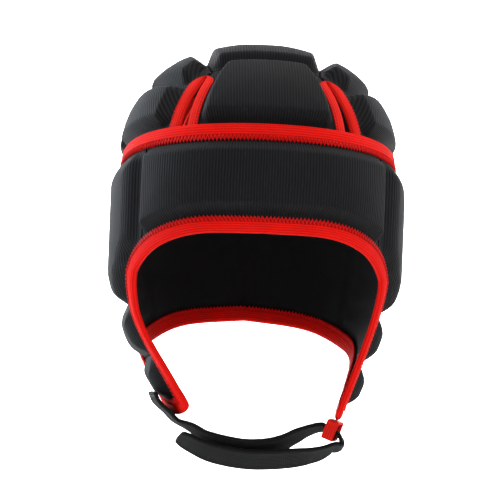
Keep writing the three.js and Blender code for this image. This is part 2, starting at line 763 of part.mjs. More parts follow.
// The strap's inner layer from the right flap to the left. side is a share of its half span, drop of
// the way down to its lowest point, ahead of its distance to the front, lean of its greatest lean
const STRAP_INNER = [
  { name: "right_side", side: -0.62, drop: 0.4, ahead: 1, lean: 0.5 },
  { name: "right_under", side: -0.47, drop: 0.62, ahead: 1, lean: 0.85 },
  { name: "right_middle", side: -0.25, drop: 0.78, ahead: 1, lean: 1 },
  { name: "middle", side: 0, drop: 0.84, ahead: 1, lean: 1 },
  { name: "left_middle", side: 0.29, drop: 0.75, ahead: 1, lean: 1 },
  { name: "left_under", side: 0.52, drop: 0.5, ahead: 0.95, lean: 0.85 },
  { name: "left_rise", side: 0.68, drop: 0.34, ahead: 0.92, lean: 0.6 },
];

// How the strap turns round the keeper's lower bar: low is along the wall above the bar, high is out
// from the keeper's middle
const STRAP_FOLD = [
  { name: "into_keeper", low: -4, high: -5.5, lean: 0.3 },
  { name: "in_keeper", low: -3.8, high: -1, lean: 0.2 },
  { name: "out_of_keeper", low: -3.8, high: 4, lean: 0.2 },
  { name: "round_bar", low: -1, high: 8, lean: 0.25 },
  { name: "below_bar", low: 3.5, high: 8.6, lean: 0.25 },
];

// Its outer layer from the keeper back to the free tip
const STRAP_OUTER = [
  { name: "left_side", side: 0.96, drop: 0.72, ahead: 1, lean: 0.55 },
  { name: "left_low", side: 0.78, drop: 0.9, ahead: 1, lean: 0.8 },
  { name: "left_under", side: 0.46, drop: 1.03, ahead: 1, lean: 1 },
  { name: "middle", side: 0, drop: 1.09, ahead: 1, lean: 1 },
  { name: "right_under", side: -0.42, drop: 0.95, ahead: 1, lean: 1 },
  { name: "right_side", side: -0.66, drop: 0.74, ahead: 1, lean: 0.9 },
  { name: "free_tip", side: -0.81, drop: 0.56, ahead: 1, lean: 0.85 },
];

// Rows of the strap's middle line, with the direction of its width
function strapRows() {
  const free = ({ side, drop, ahead, lean }) => {
    const angle = radians(STRAP_LEAN * lean);
    const z = -THREE.MathUtils.lerp(FLAP_DROP, STRAP_DROP, drop);
    const width = vector(0, -Math.cos(angle), Math.sin(angle));
    return { point: vector(side * STRAP_HALF_SPAN, -STRAP_FORWARD * ahead, z), width };
  };
  const sewn = ({ low, high }) => ({
    point: rightFrame.at(0, low, high + STRAP_THICKNESS / 2),
    width: rightFrame.across,
  });
  const bar = KEEPER_GAP + KEEPER_THICKNESS + KEEPER_SLOT;
  const folded = ({ low, high, lean }) => {
    const angle = radians(STRAP_LEAN * lean);
    const width = leftFrame.across.clone().multiplyScalar(Math.cos(angle));
    width.addScaledVector(leftFrame.down, -Math.sin(angle));
    return { point: leftFrame.at(0, bar + low, high), width };
  };
  return [
    ...STRAP_END.map(sewn),
    ...STRAP_INNER.map(free),
    ...STRAP_FOLD.map(folded),
    ...STRAP_OUTER.map(free),
  ];
}

// A flat ribbon through rows of its middle line
function ribbonGeometry(rows) {
  const line = new THREE.CatmullRomCurve3(rows.map((row) => row.point), false, "centripetal");
  const widths = new THREE.CatmullRomCurve3(rows.map((row) => row.width), false, "catmullrom", 0);
  const count = (rows.length - 1) * STRAP_STEPS;
  const rings = [];
  for (let i = 0; i <= count; i++) {
    const p = line.getPoint(i / count);
    const tangent = line.getTangent(i / count);
    const width = widths.getPoint(i / count);
    width.addScaledVector(tangent, -width.dot(tangent)).normalize();
    const up = tangent.cross(width).normalize();
    const corner = (w, h) =>
      p.clone()
        .addScaledVector(width, (w * STRAP_WIDTH) / 2)
        .addScaledVector(up, (h * STRAP_THICKNESS) / 2);
    rings.push([corner(-1, -1), corner(1, -1), corner(1, 1), corner(-1, 1)]);
  }
  return sweptGeometry(rings, false);
}

const group = new THREE.Group();
group.add(...crownCentre());
group.add(...pairedPads(crownSidePads(), "crown_", { ...crownBase, tall: FACET }));
const bandBase = { inner: BAND_OFFSET, thickness: BAND_PAD };
group.add(piece("forehead_pad", padGeometry({ ...bandBase, ...foreheadPad() }), "fabric"));
group.add(...pairedPads(bandPads(), "", bandBase));
group.add(...bandBindings());
group.add(
  ventBinding("vent_binding_front_left", ventInner, ventOuter),
  ventBinding("vent_binding_front_right", mirrored(ventInner), mirrored(ventOuter)),
  ventBinding("vent_binding_rear_left", rearInner, rearOuter),
  ventBinding("vent_binding_rear_right", mirrored(rearInner), mirrored(rearOuter)),
);
group.add(piece("strap_keeper", keeperGeometry(), "tape"));
group.add(piece("chin_strap", ribbonGeometry(strapRows()), "strap"));

export default group;
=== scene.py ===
"""A padded rugby scrum cap: foam pads on a vented crown and band, bound edges and a chin strap."""

import logging
import math
from dataclasses import dataclass, field
from enum import Enum
from typing import Callable, Sequence

import bmesh
import bpy
import numpy as np
from mathutils import Matrix, Vector


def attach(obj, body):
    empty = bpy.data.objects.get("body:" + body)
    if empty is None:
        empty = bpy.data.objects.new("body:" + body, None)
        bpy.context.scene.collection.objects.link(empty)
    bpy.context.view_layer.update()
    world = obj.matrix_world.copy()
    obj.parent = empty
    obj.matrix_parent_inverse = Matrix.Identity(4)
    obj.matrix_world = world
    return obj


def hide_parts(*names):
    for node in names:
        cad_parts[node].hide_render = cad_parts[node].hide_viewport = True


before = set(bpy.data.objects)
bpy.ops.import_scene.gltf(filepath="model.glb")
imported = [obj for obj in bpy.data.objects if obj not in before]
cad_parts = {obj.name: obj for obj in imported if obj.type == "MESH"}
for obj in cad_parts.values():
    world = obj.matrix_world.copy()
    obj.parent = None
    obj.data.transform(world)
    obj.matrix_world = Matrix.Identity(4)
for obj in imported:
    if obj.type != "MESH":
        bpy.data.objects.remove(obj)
LOG = logging.getLogger("scrum_cap")
# The cap's sizes are in millimetres, and the studio's are in metres.
MM = 0.001
CLOTH = 2.0
TAPE_THICKNESS = 0.8
STRAP_GAP = 0.6
PACE_POINTS = 61
Curve = Callable[[np.ndarray], np.ndarray]


class Half(Enum):
    """A half of the cap, by the sign of x."""

    LEFT = 1
    RIGHT = -1


class Slot(Enum):
    """Material slots of the record."""

    FABRIC = "fabric"
    TAPE = "tape"
    STRAP = "strap"


def smooth_step(x: np.ndarray) -> np.ndarray:
    """Return the smooth ramp from 0 to 1 of a share."""
    x = np.clip(x, 0.0, 1.0)
    return x * x * (3 - 2 * x)


def unit(v: np.ndarray) -> np.ndarray:
    """Return vectors brought to length one."""
    return v / np.maximum(np.linalg.norm(v, axis=-1, keepdims=True), 1e-9)


def blur(points: np.ndarray, reach: int, closed: bool) -> np.ndarray:
    """Smooth a line of points.

    Args:
        points: the line's points.
        reach: how many neighbours on each side count.
        closed: whether the line is a loop.

    Returns:
        The smoothed points.
    """
    weights = np.exp(-0.5 * (np.arange(-2 * reach, 2 * reach + 1) / reach) ** 2)
    weights /= weights.sum()
    pad = 2 * reach
    ends = np.concatenate([points[-pad:], points, points[:pad]]) if closed else np.concatenate(
        [np.repeat(points[:1], pad, 0), points, np.repeat(points[-1:], pad, 0)])
    return np.stack([np.convolve(ends[:, k], weights, "valid") for k in range(3)], axis=1)


def run_length(line: np.ndarray) -> np.ndarray:
    """Return how far along a line each of its points lies."""
    return np.concatenate([[0], np.cumsum(np.linalg.norm(np.diff(line, axis=0), axis=1))])


@dataclass(frozen=True)
class HeadForm:
    """The dome that every pad and tape is shaped on, in millimetres."""

    half_width: float = 80.0
    half_length: float = 99.0
    dome: float = 79.5
    square: float = 2.4
    jaw_drop: float = 136.0
    jaw_height: float = 72.0
    jaw_taper: float = 0.3
    jaw_power: float = 1.1
    nape_drop: float = 96.0
    nape_height: float = 70.0
    nape_taper: float = 0.12
    nape_end: float = 1.3
    slope_step: float = 0.05
    seat_rounds: int = 8

    def section(self, z: np.ndarray, back: np.ndarray) -> tuple[np.ndarray, np.ndarray]:
        """Return the half width and half length at heights, in front or at the back."""
        jaw = np.maximum(0, -z - self.jaw_drop) / self.jaw_height
        nape = np.maximum(0, -z - self.nape_drop) / self.nape_height
        pull = np.where(back, 1 - self.nape_taper * np.minimum(self.nape_end, nape) ** 2, 1.0)
        return self.half_width * (1 - self.jaw_taper * jaw ** self.jaw_power), self.half_length * pull

    def value(self, p: np.ndarray) -> np.ndarray:
        """Return the form's field: zero on it, negative inside."""
        width, length = self.section(p[..., 2], p[..., 1] > 0)
        up = np.maximum(0, p[..., 2] + self.dome) / self.dome
        n = self.square
        across, ahead = np.abs(p[..., 0]) / width, np.abs(p[..., 1]) / length
        return (across ** n + ahead ** n + up ** n) ** (1 / n) - 1

    def slope(self, p: np.ndarray) -> np.ndarray:
        """Return the field's gradient at points."""
        step = self.slope_step
        parts = []
        for axis in range(3):
            move = np.zeros(3)
            move[axis] = step
            parts.append((self.value(p + move) - self.value(p - move)) / (2 * step))
        return np.stack(parts, axis=-1)

    def seat(self, p: np.ndarray) -> np.ndarray:
        """Move points along the field's slope until they lie on the form."""
        q = np.array(p, dtype=float)
        for _ in range(self.seat_rounds):
            g = self.slope(q)
            q = q - g * (self.value(q) / np.maximum((g ** 2).sum(-1), 1e-12))[..., None]
        return q

    def normal(self, p: np.ndarray) -> np.ndarray:
        """Return the outward directions at points."""
        return unit(self.slope(p))

    def raised(self, p: np.ndarray, height: np.ndarray | float) -> np.ndarray:
        """Lift points off the form by heights."""
        return p + self.normal(p) * np.asarray(height)[..., None]

    def wall(self, turn: np.ndarray | float, z: np.ndarray | float) -> np.ndarray:
        """Return points of the form at azimuths, in degrees from the front, and heights."""
        turn, z = np.broadcast_arrays(np.asarray(turn, float), np.asarray(z, float))
        width, length = self.section(z, np.abs(turn) > 90)
        up = np.maximum(0, z + self.dome) / self.dome
        s, c = np.sin(np.radians(turn)), np.cos(np.radians(turn))
        n = self.square
        spread = (np.abs(s) / width) ** n + (np.abs(c) / length) ** n
        r = ((1 - up ** n) / spread) ** (1 / n)
        return np.stack([r * s, -r * c, z], axis=-1)


HEAD = HeadForm()
FLIP = np.array([-1.0, 1.0, 1.0])
BACK = np.array([1.0, -1.0, 1.0])


def lerp(a: float | np.ndarray, b: float | np.ndarray, t: float | np.ndarray) -> float | np.ndarray:
    """Return the value at a share of the way from a to b."""
    return a + (b - a) * t


def chord(a: np.ndarray, b: np.ndarray) -> Curve:
    """Return the curve of the form over the straight line between two points."""
    return lambda t: HEAD.seat(a + (b - a) * np.atleast_1d(t)[:, None])


def mirrored(curve: Curve) -> Curve:
    """Return a curve on the other half of the cap."""
    return lambda t: curve(t) * FLIP


def turned(curve: Curve) -> Curve:
    """Return a curve that runs the other way."""
    return lambda t: curve(1 - np.atleast_1d(t))


def part(curve: Curve, start: float, end: float) -> Curve:
    """Return the part of a curve between two of its places."""
    return lambda t: curve(lerp(start, end, np.atleast_1d(t)))


def chained(first: Curve, second: Curve, share: float) -> Curve:
    """Return one curve after another, the first one up to the share."""
    def both(t: np.ndarray) -> np.ndarray:
        """Return points of the joined curve."""
        t = np.atleast_1d(t)
        head = first(np.clip(t / share, 0, 1))
        tail = second(np.clip((t - share) / (1 - share), 0, 1))
        return np.where((t < share)[:, None], head, tail)
    return both


def paced(curve: Curve) -> Curve:
    """Return the same curve with its share counted along its length."""
    t = np.linspace(0, 1, PACE_POINTS)
    run = run_length(curve(t))
    return lambda share: curve(np.interp(np.atleast_1d(share), run / run[-1], t))


def spline(points: np.ndarray, at: np.ndarray) -> np.ndarray:
    """Run a centripetal spline through rows of points.

    Args:
        points: the rows' points.
        at: where to read it, counted in rows.

    Returns:
        One point for each place.
    """
    last = len(points) - 1
    i = np.clip(at.astype(int), 0, last - 1)
    w = (at - i)[:, None]
    ends = np.concatenate([2 * points[:1] - points[1:2], points, 2 * points[-1:] - points[-2:-1]])
    before, a, b, after = ends[i], ends[i + 1], ends[i + 2], ends[i + 3]
    pairs = ((before, a), (a, b), (b, after))
    d0, d1, d2 = (np.maximum(np.sqrt(np.linalg.norm(y - x, axis=1)), 1e-4)[:, None] for x, y in pairs)
    m0 = ((a - before) / d0 - (b - before) / (d0 + d1) + (b - a) / d1) * d1
    m1 = ((b - a) / d1 - (after - a) / (d1 + d2) + (after - b) / d2) * d1
    return ((2 * w ** 3 - 3 * w ** 2 + 1) * a + (w ** 3 - 2 * w ** 2 + w) * m0
            + (3 * w ** 2 - 2 * w ** 3) * b + (w ** 3 - w ** 2) * m1)


@dataclass(frozen=True)
class Cut:
    """The heights and azimuths that the band and the crown are cut to."""

    band_top: float = 64.0
    band_tilt: float = 17.5
    underlap: float = 9.0
    brow: float = 109.5
    neck: float = 166.5
    flap: float = 222.0
    forehead_turn: float = 46.0
    temple_turn: float = 88.0
    ear_turn: float = 134.0

    def band_height(self, turn: np.ndarray | float) -> np.ndarray:
        """Return the height of the band's top edge at azimuths."""
        return -self.band_top + self.band_tilt * np.cos(np.radians(turn))

    def band_edge(self, turn: np.ndarray | float) -> np.ndarray:
        """Return points of the band's top edge."""
        return HEAD.wall(turn, self.band_height(turn))

    def crown_hem(self, turn: np.ndarray | float) -> np.ndarray:
        """Return points of the crown's hem, under the band."""
        return HEAD.wall(turn, self.band_height(turn) - self.underlap)


CUT = Cut()


@dataclass(frozen=True)
class Swing:
    """How the right flap hangs, swung in and twisted, as the strap's pull left it."""

    root: float = 155.0
    twist: float = 14.0
    inward: float = 5.0
    axis_half: float = 50.0
    axis_forward: float = 10.0
    rear: float = 60.0

    def move(self, p: np.ndarray) -> np.ndarray:
        """Return points of the cap after the right flap's swing."""
        share = smooth_step((-p[..., 2] - self.root) / (CUT.flap - self.root))
        share = np.where(p[..., 0] > 0, 0.0, share * (1 - smooth_step(p[..., 1] / self.rear)))
        angle = np.radians(self.twist) * share
        c, s = np.cos(angle), np.sin(angle)
        x, y = p[..., 0] + self.axis_half, p[..., 1] + self.axis_forward
        return np.stack([x * c - y * s - self.axis_half + self.inward * share,
                         x * s + y * c - self.axis_forward, p[..., 2]], axis=-1)


SWING = Swing()


@dataclass(frozen=True)
class HemRow:
    """A point of the hem: azimuth, height it counts from, and share of the way to the tip."""

    name: str
    turn: float
    start: float
    drop: float


class Hem:
    """The hem from the brow down the face edge, round the flap and back to the neck."""

    rows = (
        HemRow("brow", 0, CUT.brow, 0), HemRow("brow_side", 22, CUT.brow, 0.015),
        HemRow("brow_corner", 36, CUT.brow, 0.08), HemRow("temple", 45.5, CUT.brow, 0.165),
        HemRow("cheek_top", 51.5, CUT.brow, 0.25), HemRow("cheek", 55.5, CUT.brow, 0.41),
        HemRow("jaw", 56, CUT.brow, 0.55), HemRow("jaw_low", 54, CUT.brow, 0.665),
        HemRow("chin", 50, CUT.brow, 0.83), HemRow("tip_front", 46, CUT.brow, 0.95),
        HemRow("tip", 60, CUT.brow, 1), HemRow("tip_rear", 80, CUT.neck, 0.92),
        HemRow("chin_rear", 90, CUT.neck, 0.7), HemRow("jaw_rear", 103, CUT.neck, 0.44),
        HemRow("nape_side", CUT.ear_turn, CUT.neck, 0.22), HemRow("nape", 155, CUT.neck, 0.07),
        HemRow("neck", 180, CUT.neck, 0),
    )

    def __init__(self) -> None:
        """Place the rows' points as azimuth and height."""
        self.points = np.array([(row.turn, -lerp(row.start, CUT.flap, row.drop)) for row in self.rows])
        self.last = len(self.rows) - 1

    def index(self, name: str) -> int:
        """Return the number of the row of a name."""
        return [row.name for row in self.rows].index(name)

    def at(self, row: np.ndarray | float) -> np.ndarray:
        """Return points of the hem, counted in rows, on a centripetal spline through them."""
        flat = spline(self.points, np.atleast_1d(np.asarray(row, float)))
        return HEAD.wall(flat[:, 0], flat[:, 1])

    def signed(self, row: np.ndarray) -> np.ndarray:
        """Return points of the hem, with rows below zero on the right half."""
        points = self.at(np.abs(row))
        return np.where((np.atleast_1d(row) < 0)[:, None], points * FLIP, points)

    def curve(self, start: str, end: str) -> Curve:
        """Return the hem between two named rows."""
        return part(self.at, self.index(start), self.index(end))

    def corner(self, name: str) -> np.ndarray:
        """Return the hem's point at a named row."""
        return self.at(self.index(name))[0]


HEM = Hem()


class Socket:
    """A shader socket with arithmetic, so that shader maths reads as an expression."""

    def __init__(self, finish: "Finish", link: bpy.types.NodeSocket) -> None:
        """Keep the finish that owns the node tree, and the socket."""
        self.finish, self.link = finish, link

    def _math(self, operation: str, *values: "Socket | float") -> "Socket":
        """Add a Math node."""
        return self.finish.node("ShaderNodeMath", {"operation": operation}, dict(enumerate(values)))

    def __add__(self, other: "Socket | float") -> "Socket":
        """Return the sum."""
        return self._math("ADD", self, other)

    def __sub__(self, other: "Socket | float") -> "Socket":
        """Return the difference."""
        return self._math("SUBTRACT", self, other)

    def __rsub__(self, other: float) -> "Socket":
        """Return a number less the value."""
        return self._math("SUBTRACT", other, self)

    def __mul__(self, other: "Socket | float") -> "Socket":
        """Return the product."""
        return self._math("MULTIPLY", self, other)

    def __truediv__(self, other: "Socket | float") -> "Socket":
        """Return the quotient."""
        return self._math("DIVIDE", self, other)

    __radd__ = __add__
    __rmul__ = __mul__

    def wave(self, pitch: float, shift: "Socket | float" = 0.0) -> "Socket":
        """Return a sine wave between 0 and 1 with a pitch, moved by a shift in turns."""
        turns = self / pitch + shift
        return (turns * math.tau)._math("SINE", turns * math.tau) * 0.5 + 0.5

    def above(self, edge: float, soft: float) -> "Socket":
        """Return a mask that rises from 0 to 1 round an edge."""
        return self.finish.node("ShaderNodeMapRange", {"interpolation_type": "SMOOTHSTEP"},
                                {0: self, 1: edge - soft, 2: edge + soft})


class Finish:
    """A procedural material, made node by node."""

    def __init__(self, name: str) -> None:
        """Make the material with its surface shader."""
        self.material = bpy.data.materials.new(name)
        self.material.use_nodes = True
        self.tree = self.material.node_tree
        self.shader = self.tree.nodes["Principled BSDF"]

    def node(self, kind: str, settings: dict[str, object], inputs: dict[object, object],
             output: int = 0) -> Socket:
        """Add a node.

        Args:
            kind: the node's type.
            settings: properties that are set first.
            inputs: values or links of its sockets, by place or name.
            output: which output is returned.

        Returns:
            The wrapped output socket.
        """
        made = self.tree.nodes.new(kind)
        for key, value in settings.items():
            setattr(made, key, value)
        self.feed(made.inputs, inputs)
        return Socket(self, made.outputs[output])

    def feed(self, sockets: bpy.types.NodeInputs, inputs: dict[object, object]) -> None:
        """Set or link sockets by place or name."""
        for key, value in inputs.items():
            if isinstance(value, Socket):
                self.tree.links.new(value.link, sockets[key])
            else:
                sockets[key].default_value = value

    def surface(self, inputs: dict[str, object]) -> None:
        """Set or link the surface shader's sockets."""
        self.feed(self.shader.inputs, inputs)

    def across_along(self) -> tuple[Socket, Socket]:
        """Return the piece's own u and v, in millimetres."""
        uv = self.node("ShaderNodeUVMap", {"uv_map": "lay"}, {})
        split = self.node("ShaderNodeSeparateXYZ", {}, {0: uv})
        return split, Socket(self, split.link.node.outputs[1])

    def place(self) -> Socket:
        """Return the object coordinates."""
        return self.node("ShaderNodeTexCoord", {}, {}, 3)

    def noise(self, scale: float, detail: float = 2.0) -> Socket:
        """Return a noise between 0 and 1 over the object coordinates."""
        inputs = {"Vector": self.place(), "Scale": scale, "Detail": detail}
        return self.node("ShaderNodeTexNoise", {}, inputs)

    def mix(self, mask: Socket, low: Sequence[float], high: Sequence[float]) -> Socket:
        """Return a colour between two, by a mask."""
        inputs = {0: mask, 6: (*low, 1), 7: (*high, 1)}
        return self.node("ShaderNodeMix", {"data_type": "RGBA"}, inputs, 2)

    def bump(self, height: Socket, distance: float, strength: float = 1.0) -> Socket:
        """Return the normal that a height field gives, with its depth in metres."""
        inputs = {"Strength": strength, "Distance": distance, "Height": height}
        return self.node("ShaderNodeBump", {}, inputs)


@dataclass(frozen=True)
class RibbedKnit:
    """Black stretch knit with fine ribs over foam."""

    name: str = "ribbed_knit"
    rib: float = 1.55
    loop: float = 0.9
    # The ribs are painted lighter on their crests and darker between them, from the low to the high
    # colour: painted highlight and painted shade of the ribs.
    low: tuple[float, float, float] = (0.001, 0.001, 0.0012)
    high: tuple[float, float, float] = (0.0105, 0.0108, 0.0122)

    def make(self) -> bpy.types.Material:
        """Return the material."""
        finish = Finish(self.name)
        across, along = finish.across_along()
        cloud = finish.noise(60.0)
        fuzz = finish.noise(1800.0, 1.0)
        rib = (across + (cloud - 0.5) * 0.35).wave(self.rib)
        loops = along.wave(self.loop, across / self.rib)
        weave = rib * 0.75 + loops * rib * 0.25
        # The colour follows the ribs: a painted highlight on their crests and painted shade between
        # them, with random tone from the cloud and fuzz noises.
        shade = weave * 0.7 + cloud * 0.2 + fuzz * 0.1
        finish.surface({
            "Base Color": finish.mix(shade, self.low, self.high),
            "Roughness": 0.72 - weave * 0.08 + fuzz * 0.06,
            "Normal": finish.bump(weave + fuzz * 0.12, 0.00022, 0.8),
            "Sheen Weight": 0.02,
            "Sheen Roughness": 0.25,
            "Sheen Tint": (0.72, 0.84, 1.0, 1),
            "Specular IOR Level": 0.1,
        })
        return finish.material


@dataclass(frozen=True)
class Lining:
    """Thin black jersey of the inside."""

    name: str = "jersey_lining"
    mesh: float = 0.8
    low: tuple[float, float, float] = (0.0022, 0.002, 0.002)
    high: tuple[float, float, float] = (0.006, 0.0055, 0.0055)

    def make(self) -> bpy.types.Material:
        """Return the material."""
        finish = Finish(self.name)
        across, along = finish.across_along()
        grain = across.wave(self.mesh) * 0.5 + along.wave(self.mesh) * 0.5
        finish.surface({
            "Base Color": finish.mix(grain, self.low, self.high),
            "Roughness": 0.85,
            "Normal": finish.bump(grain, 0.0001, 0.6),
            "Specular IOR Level": 0.2,
        })
        return finish.material


@dataclass(frozen=True)
class ElasticTape:
    """Red woven elastic, ribbed along its length, with needle holes near its stitched edge."""

    name: str = "red_elastic_tape"
    width: float = 9.5
    stitched: bool = True
    cord: float = 1.45
    pick: float = 0.95
    needle_pitch: float = 2.1
    needle_inset: float = 1.9
    # The darker red is painted shade between the cords and inside the needle holes; the brighter red is
    # the tape's own red.
    painted_cord_shade: tuple[float, float, float] = (0.24, 0.001, 0.001)
    bright: tuple[float, float, float] = (0.72, 0.008, 0.004)

    def make(self) -> bpy.types.Material:
        """Return the material."""
        finish = Finish(self.name)
        along, across = finish.across_along()
        cords = across.wave(self.cord)
        picks = along.wave(self.pick)
        fuzz = finish.noise(1500.0, 1.0)
        tone = finish.noise(90.0)
        weave = cords * 0.55 + picks * 0.25 + fuzz * 0.2
        # The colour follows the weave: painted shade between the cords and picks, with random tone from
        # the tone and fuzz noises.
        shade = weave * 0.75 + 0.1 + tone * 0.25
        height = weave
        if self.stitched:
            away = across - (self.width - self.needle_inset)
            near = away.above(-0.9, 0.3) * (1 - away.above(0.95, 0.25))
            holes = along.wave(self.needle_pitch, away * 0.25).above(0.60, 0.12) * near
            # The needle holes are darkened towards the darker red: painted shade inside the holes.
            shade = shade * (1 - holes * 0.92)
            height = weave * (1 - holes) + away.above(-1.1, 0.2) * -0.3
        finish.surface({
            "Base Color": finish.mix(shade, self.painted_cord_shade, self.bright),
            "Roughness": 0.62 + fuzz * 0.15,
            "Normal": finish.bump(height, 0.00028, 0.8),
            "Specular IOR Level": 0.04,
        })
        return finish.material


@dataclass(frozen=True)
class Thread:
    """Sewing thread in one colour."""

    name: str
    colour: tuple[float, float, float]

    def make(self) -> bpy.types.Material:
        """Return the material."""
        finish = Finish(self.name)
        twist = finish.noise(2500.0, 1.0)
        dark = tuple(0.6 * part for part in self.colour)
        finish.surface({
            "Base Color": finish.mix(twist, dark, self.colour),
            "Roughness": 0.55,
            "Normal": finish.bump(twist, 0.0001, 0.5),
            "Specular IOR Level": 0.1,
        })
        return finish.material


@dataclass(frozen=True)
class LoopWebbing:
    """Black brushed webbing of the chin strap, ribbed across, fuzzy on its face."""

    name: str = "brushed_webbing"
    cord: float = 1.9
    pick: float = 1.25
    # The weave is painted darker in its grooves, from the high towards the low colour: painted shade of
    # the cords and picks.
    low: tuple[float, float, float] = (0.0009, 0.001, 0.0009)
    high: tuple[float, float, float] = (0.0075, 0.0082, 0.0074)

    def make(self) -> bpy.types.Material:
        """Return the material."""
        finish = Finish(self.name)
        along, across = finish.across_along()
        cords = across.wave(self.cord)
        picks = along.wave(self.pick)
        fuzz = finish.noise(1100.0, 3.0)
        wear = finish.noise(140.0)
        weave = cords * 0.4 + picks * 0.35 + fuzz * 0.25
        # The colour follows the weave: painted shade between the cords and picks, with random tone from
        # the fuzz and wear noises.
        shade = weave * 0.7 + wear * 0.3
        finish.surface({
            "Base Color": finish.mix(shade, self.low, self.high),
            "Roughness": 0.78 + fuzz * 0.12,
            "Normal": finish.bump(weave, 0.0003, 0.8),
            "Sheen Weight": 0.012,
            "Sheen Roughness": 0.5,
            "Specular IOR Level": 0.06,
        })
        return finish.material


@dataclass(frozen=True)
class StudioPaper:
    """White paper of the studio's floor."""

    name: str = "studio_paper"
    low: tuple[float, float, float] = (0.93, 0.93, 0.93)
    high: tuple[float, float, float] = (0.96, 0.96, 0.96)

    def make(self) -> bpy.types.Material:
        """Return the material."""
        finish = Finish(self.name)
        grain = finish.noise(30.0)
        finish.surface({
            "Base Color": finish.mix(grain, self.low, self.high),
            "Roughness": 0.9,
        })
        return finish.material


class Wardrobe:
    """All finishes, made once."""

    def __init__(self) -> None:
        """Make each finish."""
        self.knit = RibbedKnit().make()
        self.lining = Lining().make()
        self.tape = ElasticTape().make()
        self.vent_tape = ElasticTape(name="red_vent_tape", width=7.0, stitched=False,
                                     bright=(0.68, 0.016, 0.01)).make()
        self.red_thread = Thread("red_thread", (0.6, 0.005, 0.003)).make()
        self.dark_thread = Thread("dark_red_thread", (0.22, 0.006, 0.006)).make()
        self.black_thread = Thread("black_thread", (0.03, 0.03, 0.032)).make()
        self.webbing = LoopWebbing().make()
        self.paper = StudioPaper().make()


@dataclass
class Shell:
    """Points, faces and a lay (u and v in millimetres) of a mesh being made."""

    points: list[np.ndarray] = field(default_factory=list)
    lay: list[np.ndarray] = field(default_factory=list)
    faces: list[np.ndarray] = field(default_factory=list)
    marks: list[np.ndarray] = field(default_factory=list)
    count: int = 0

    def add(self, points: np.ndarray, lay: np.ndarray) -> int:
        """Add points with their lay and return the number of the first one."""
        first = self.count
        self.points.append(points.reshape(-1, 3))
        self.lay.append(lay.reshape(-1, 2))
        self.count += len(self.points[-1])
        return first

    def quads(self, quads: np.ndarray, mark: int = 0) -> None:
        """Add faces of four corners with a material number."""
        self.faces.append(quads.reshape(-1, 4))
        self.marks.append(np.full(len(self.faces[-1]), mark))

    def build(self, name: str, materials: Sequence[bpy.types.Material], slot: Slot,
              nodes: Sequence[str] = (), crease: float = 50.0) -> bpy.types.Object:
        """Make the object, ride it on the cap and hide the solids that it stands for.

        Args:
            name: the object's name.
            materials: finishes by material number.
            slot: the record's material slot. It is not used.
            nodes: the solids that the piece replaces.
            crease: edges sharper than this many degrees stay sharp.

        Returns:
            The object.
        """
        points = np.concatenate(self.points) * MM
        faces = np.concatenate(self.faces)
        mesh = bpy.data.meshes.new(name)
        mesh.vertices.add(len(points))
        mesh.vertices.foreach_set("co", points.ravel())
        mesh.loops.add(faces.size)
        mesh.loops.foreach_set("vertex_index", faces.ravel().astype(np.int32))
        mesh.polygons.add(len(faces))
        mesh.polygons.foreach_set("loop_start", np.arange(0, faces.size, 4, dtype=np.int32))
        mesh.polygons.foreach_set("material_index", np.concatenate(self.marks).astype(np.int32))
        mesh.update(calc_edges=True)
        uv = mesh.uv_layers.new(name="lay")
        uv.data.foreach_set("uv", np.concatenate(self.lay)[faces.ravel()].ravel())
        for material in materials:
            mesh.materials.append(material)
        piece = bpy.data.objects.new(name, mesh)
        bpy.context.collection.objects.link(piece)
        work = bmesh.new()
        work.from_mesh(mesh)
        bmesh.ops.recalc_face_normals(work, faces=work.faces[:])
        limit = math.radians(crease)
        for edge in work.edges:
            edge.smooth = len(edge.link_faces) == 2 and edge.calc_face_angle(0.0) < limit
        for face in work.faces:
            face.smooth = True
        work.to_mesh(mesh)
        work.free()
        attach(piece, "root")
        if nodes:
            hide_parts(*nodes)
        LOG.info("%s: %d faces", name, len(faces))
        return piece


def grid_quads(first: int, rows: int, columns: int, loop_rows: bool = False,
               loop_columns: bool = False) -> np.ndarray:
    """Return the faces of a grid of points.

    Args:
        first: the number of the first point.
        rows: how many rows of points.
        columns: how many points in a row.
        loop_rows: whether the last row joins the first.
        loop_columns: whether each row closes on itself.

    Returns:
        Faces of four corners.
    """
    j = np.arange(rows if loop_rows else rows - 1)[:, None]
    i = np.arange(columns if loop_columns else columns - 1)[None, :]
    j2, i2 = (j + 1) % rows, (i + 1) % columns
    corners = [j * columns + i, j * columns + i2, j2 * columns + i2, j2 * columns + i]
    return first + np.stack(corners, axis=-1)


@dataclass(frozen=True)
class Margin:
    """How far the foam stands back from a side: low before a share of it, high after."""

    low: float
    high: float
    until: float = 0.0
    blend: float = 0.01

    def at(self, t: np.ndarray) -> np.ndarray:
        """Return the margin at shares of the side."""
        return lerp(self.low, self.high, smooth_step((t - self.until) / self.blend))

    def turned(self) -> "Margin":
        """Return the margin of the side run the other way."""
        if self.low == self.high:
            return self
        return Margin(self.high, self.low, 1 - self.until - self.blend, self.blend)


SEAM = Margin(1.1, 1.1)
TAPED = Margin(10.3, 10.3)
SLANTED = Margin(12.6, 12.6)
VENT_SIDE = Margin(8.0, 8.0)
CROWN_FOOT = Margin(11.6, 11.6)


@dataclass(frozen=True)
class Foam:
    """A pad's foam: height of its inner face, thickness, and its shoulder's reach and softness."""

    inner: float
    thickness: float
    shoulder: float = 5.5
    soft: float = 0.24


CROWN_FOAM = Foam(0.0, 10.5)
BAND_FOAM = Foam(4.2, 9.0)
FLAP_FOAM = Foam(4.2, 9.0, 7.6, 0.62)


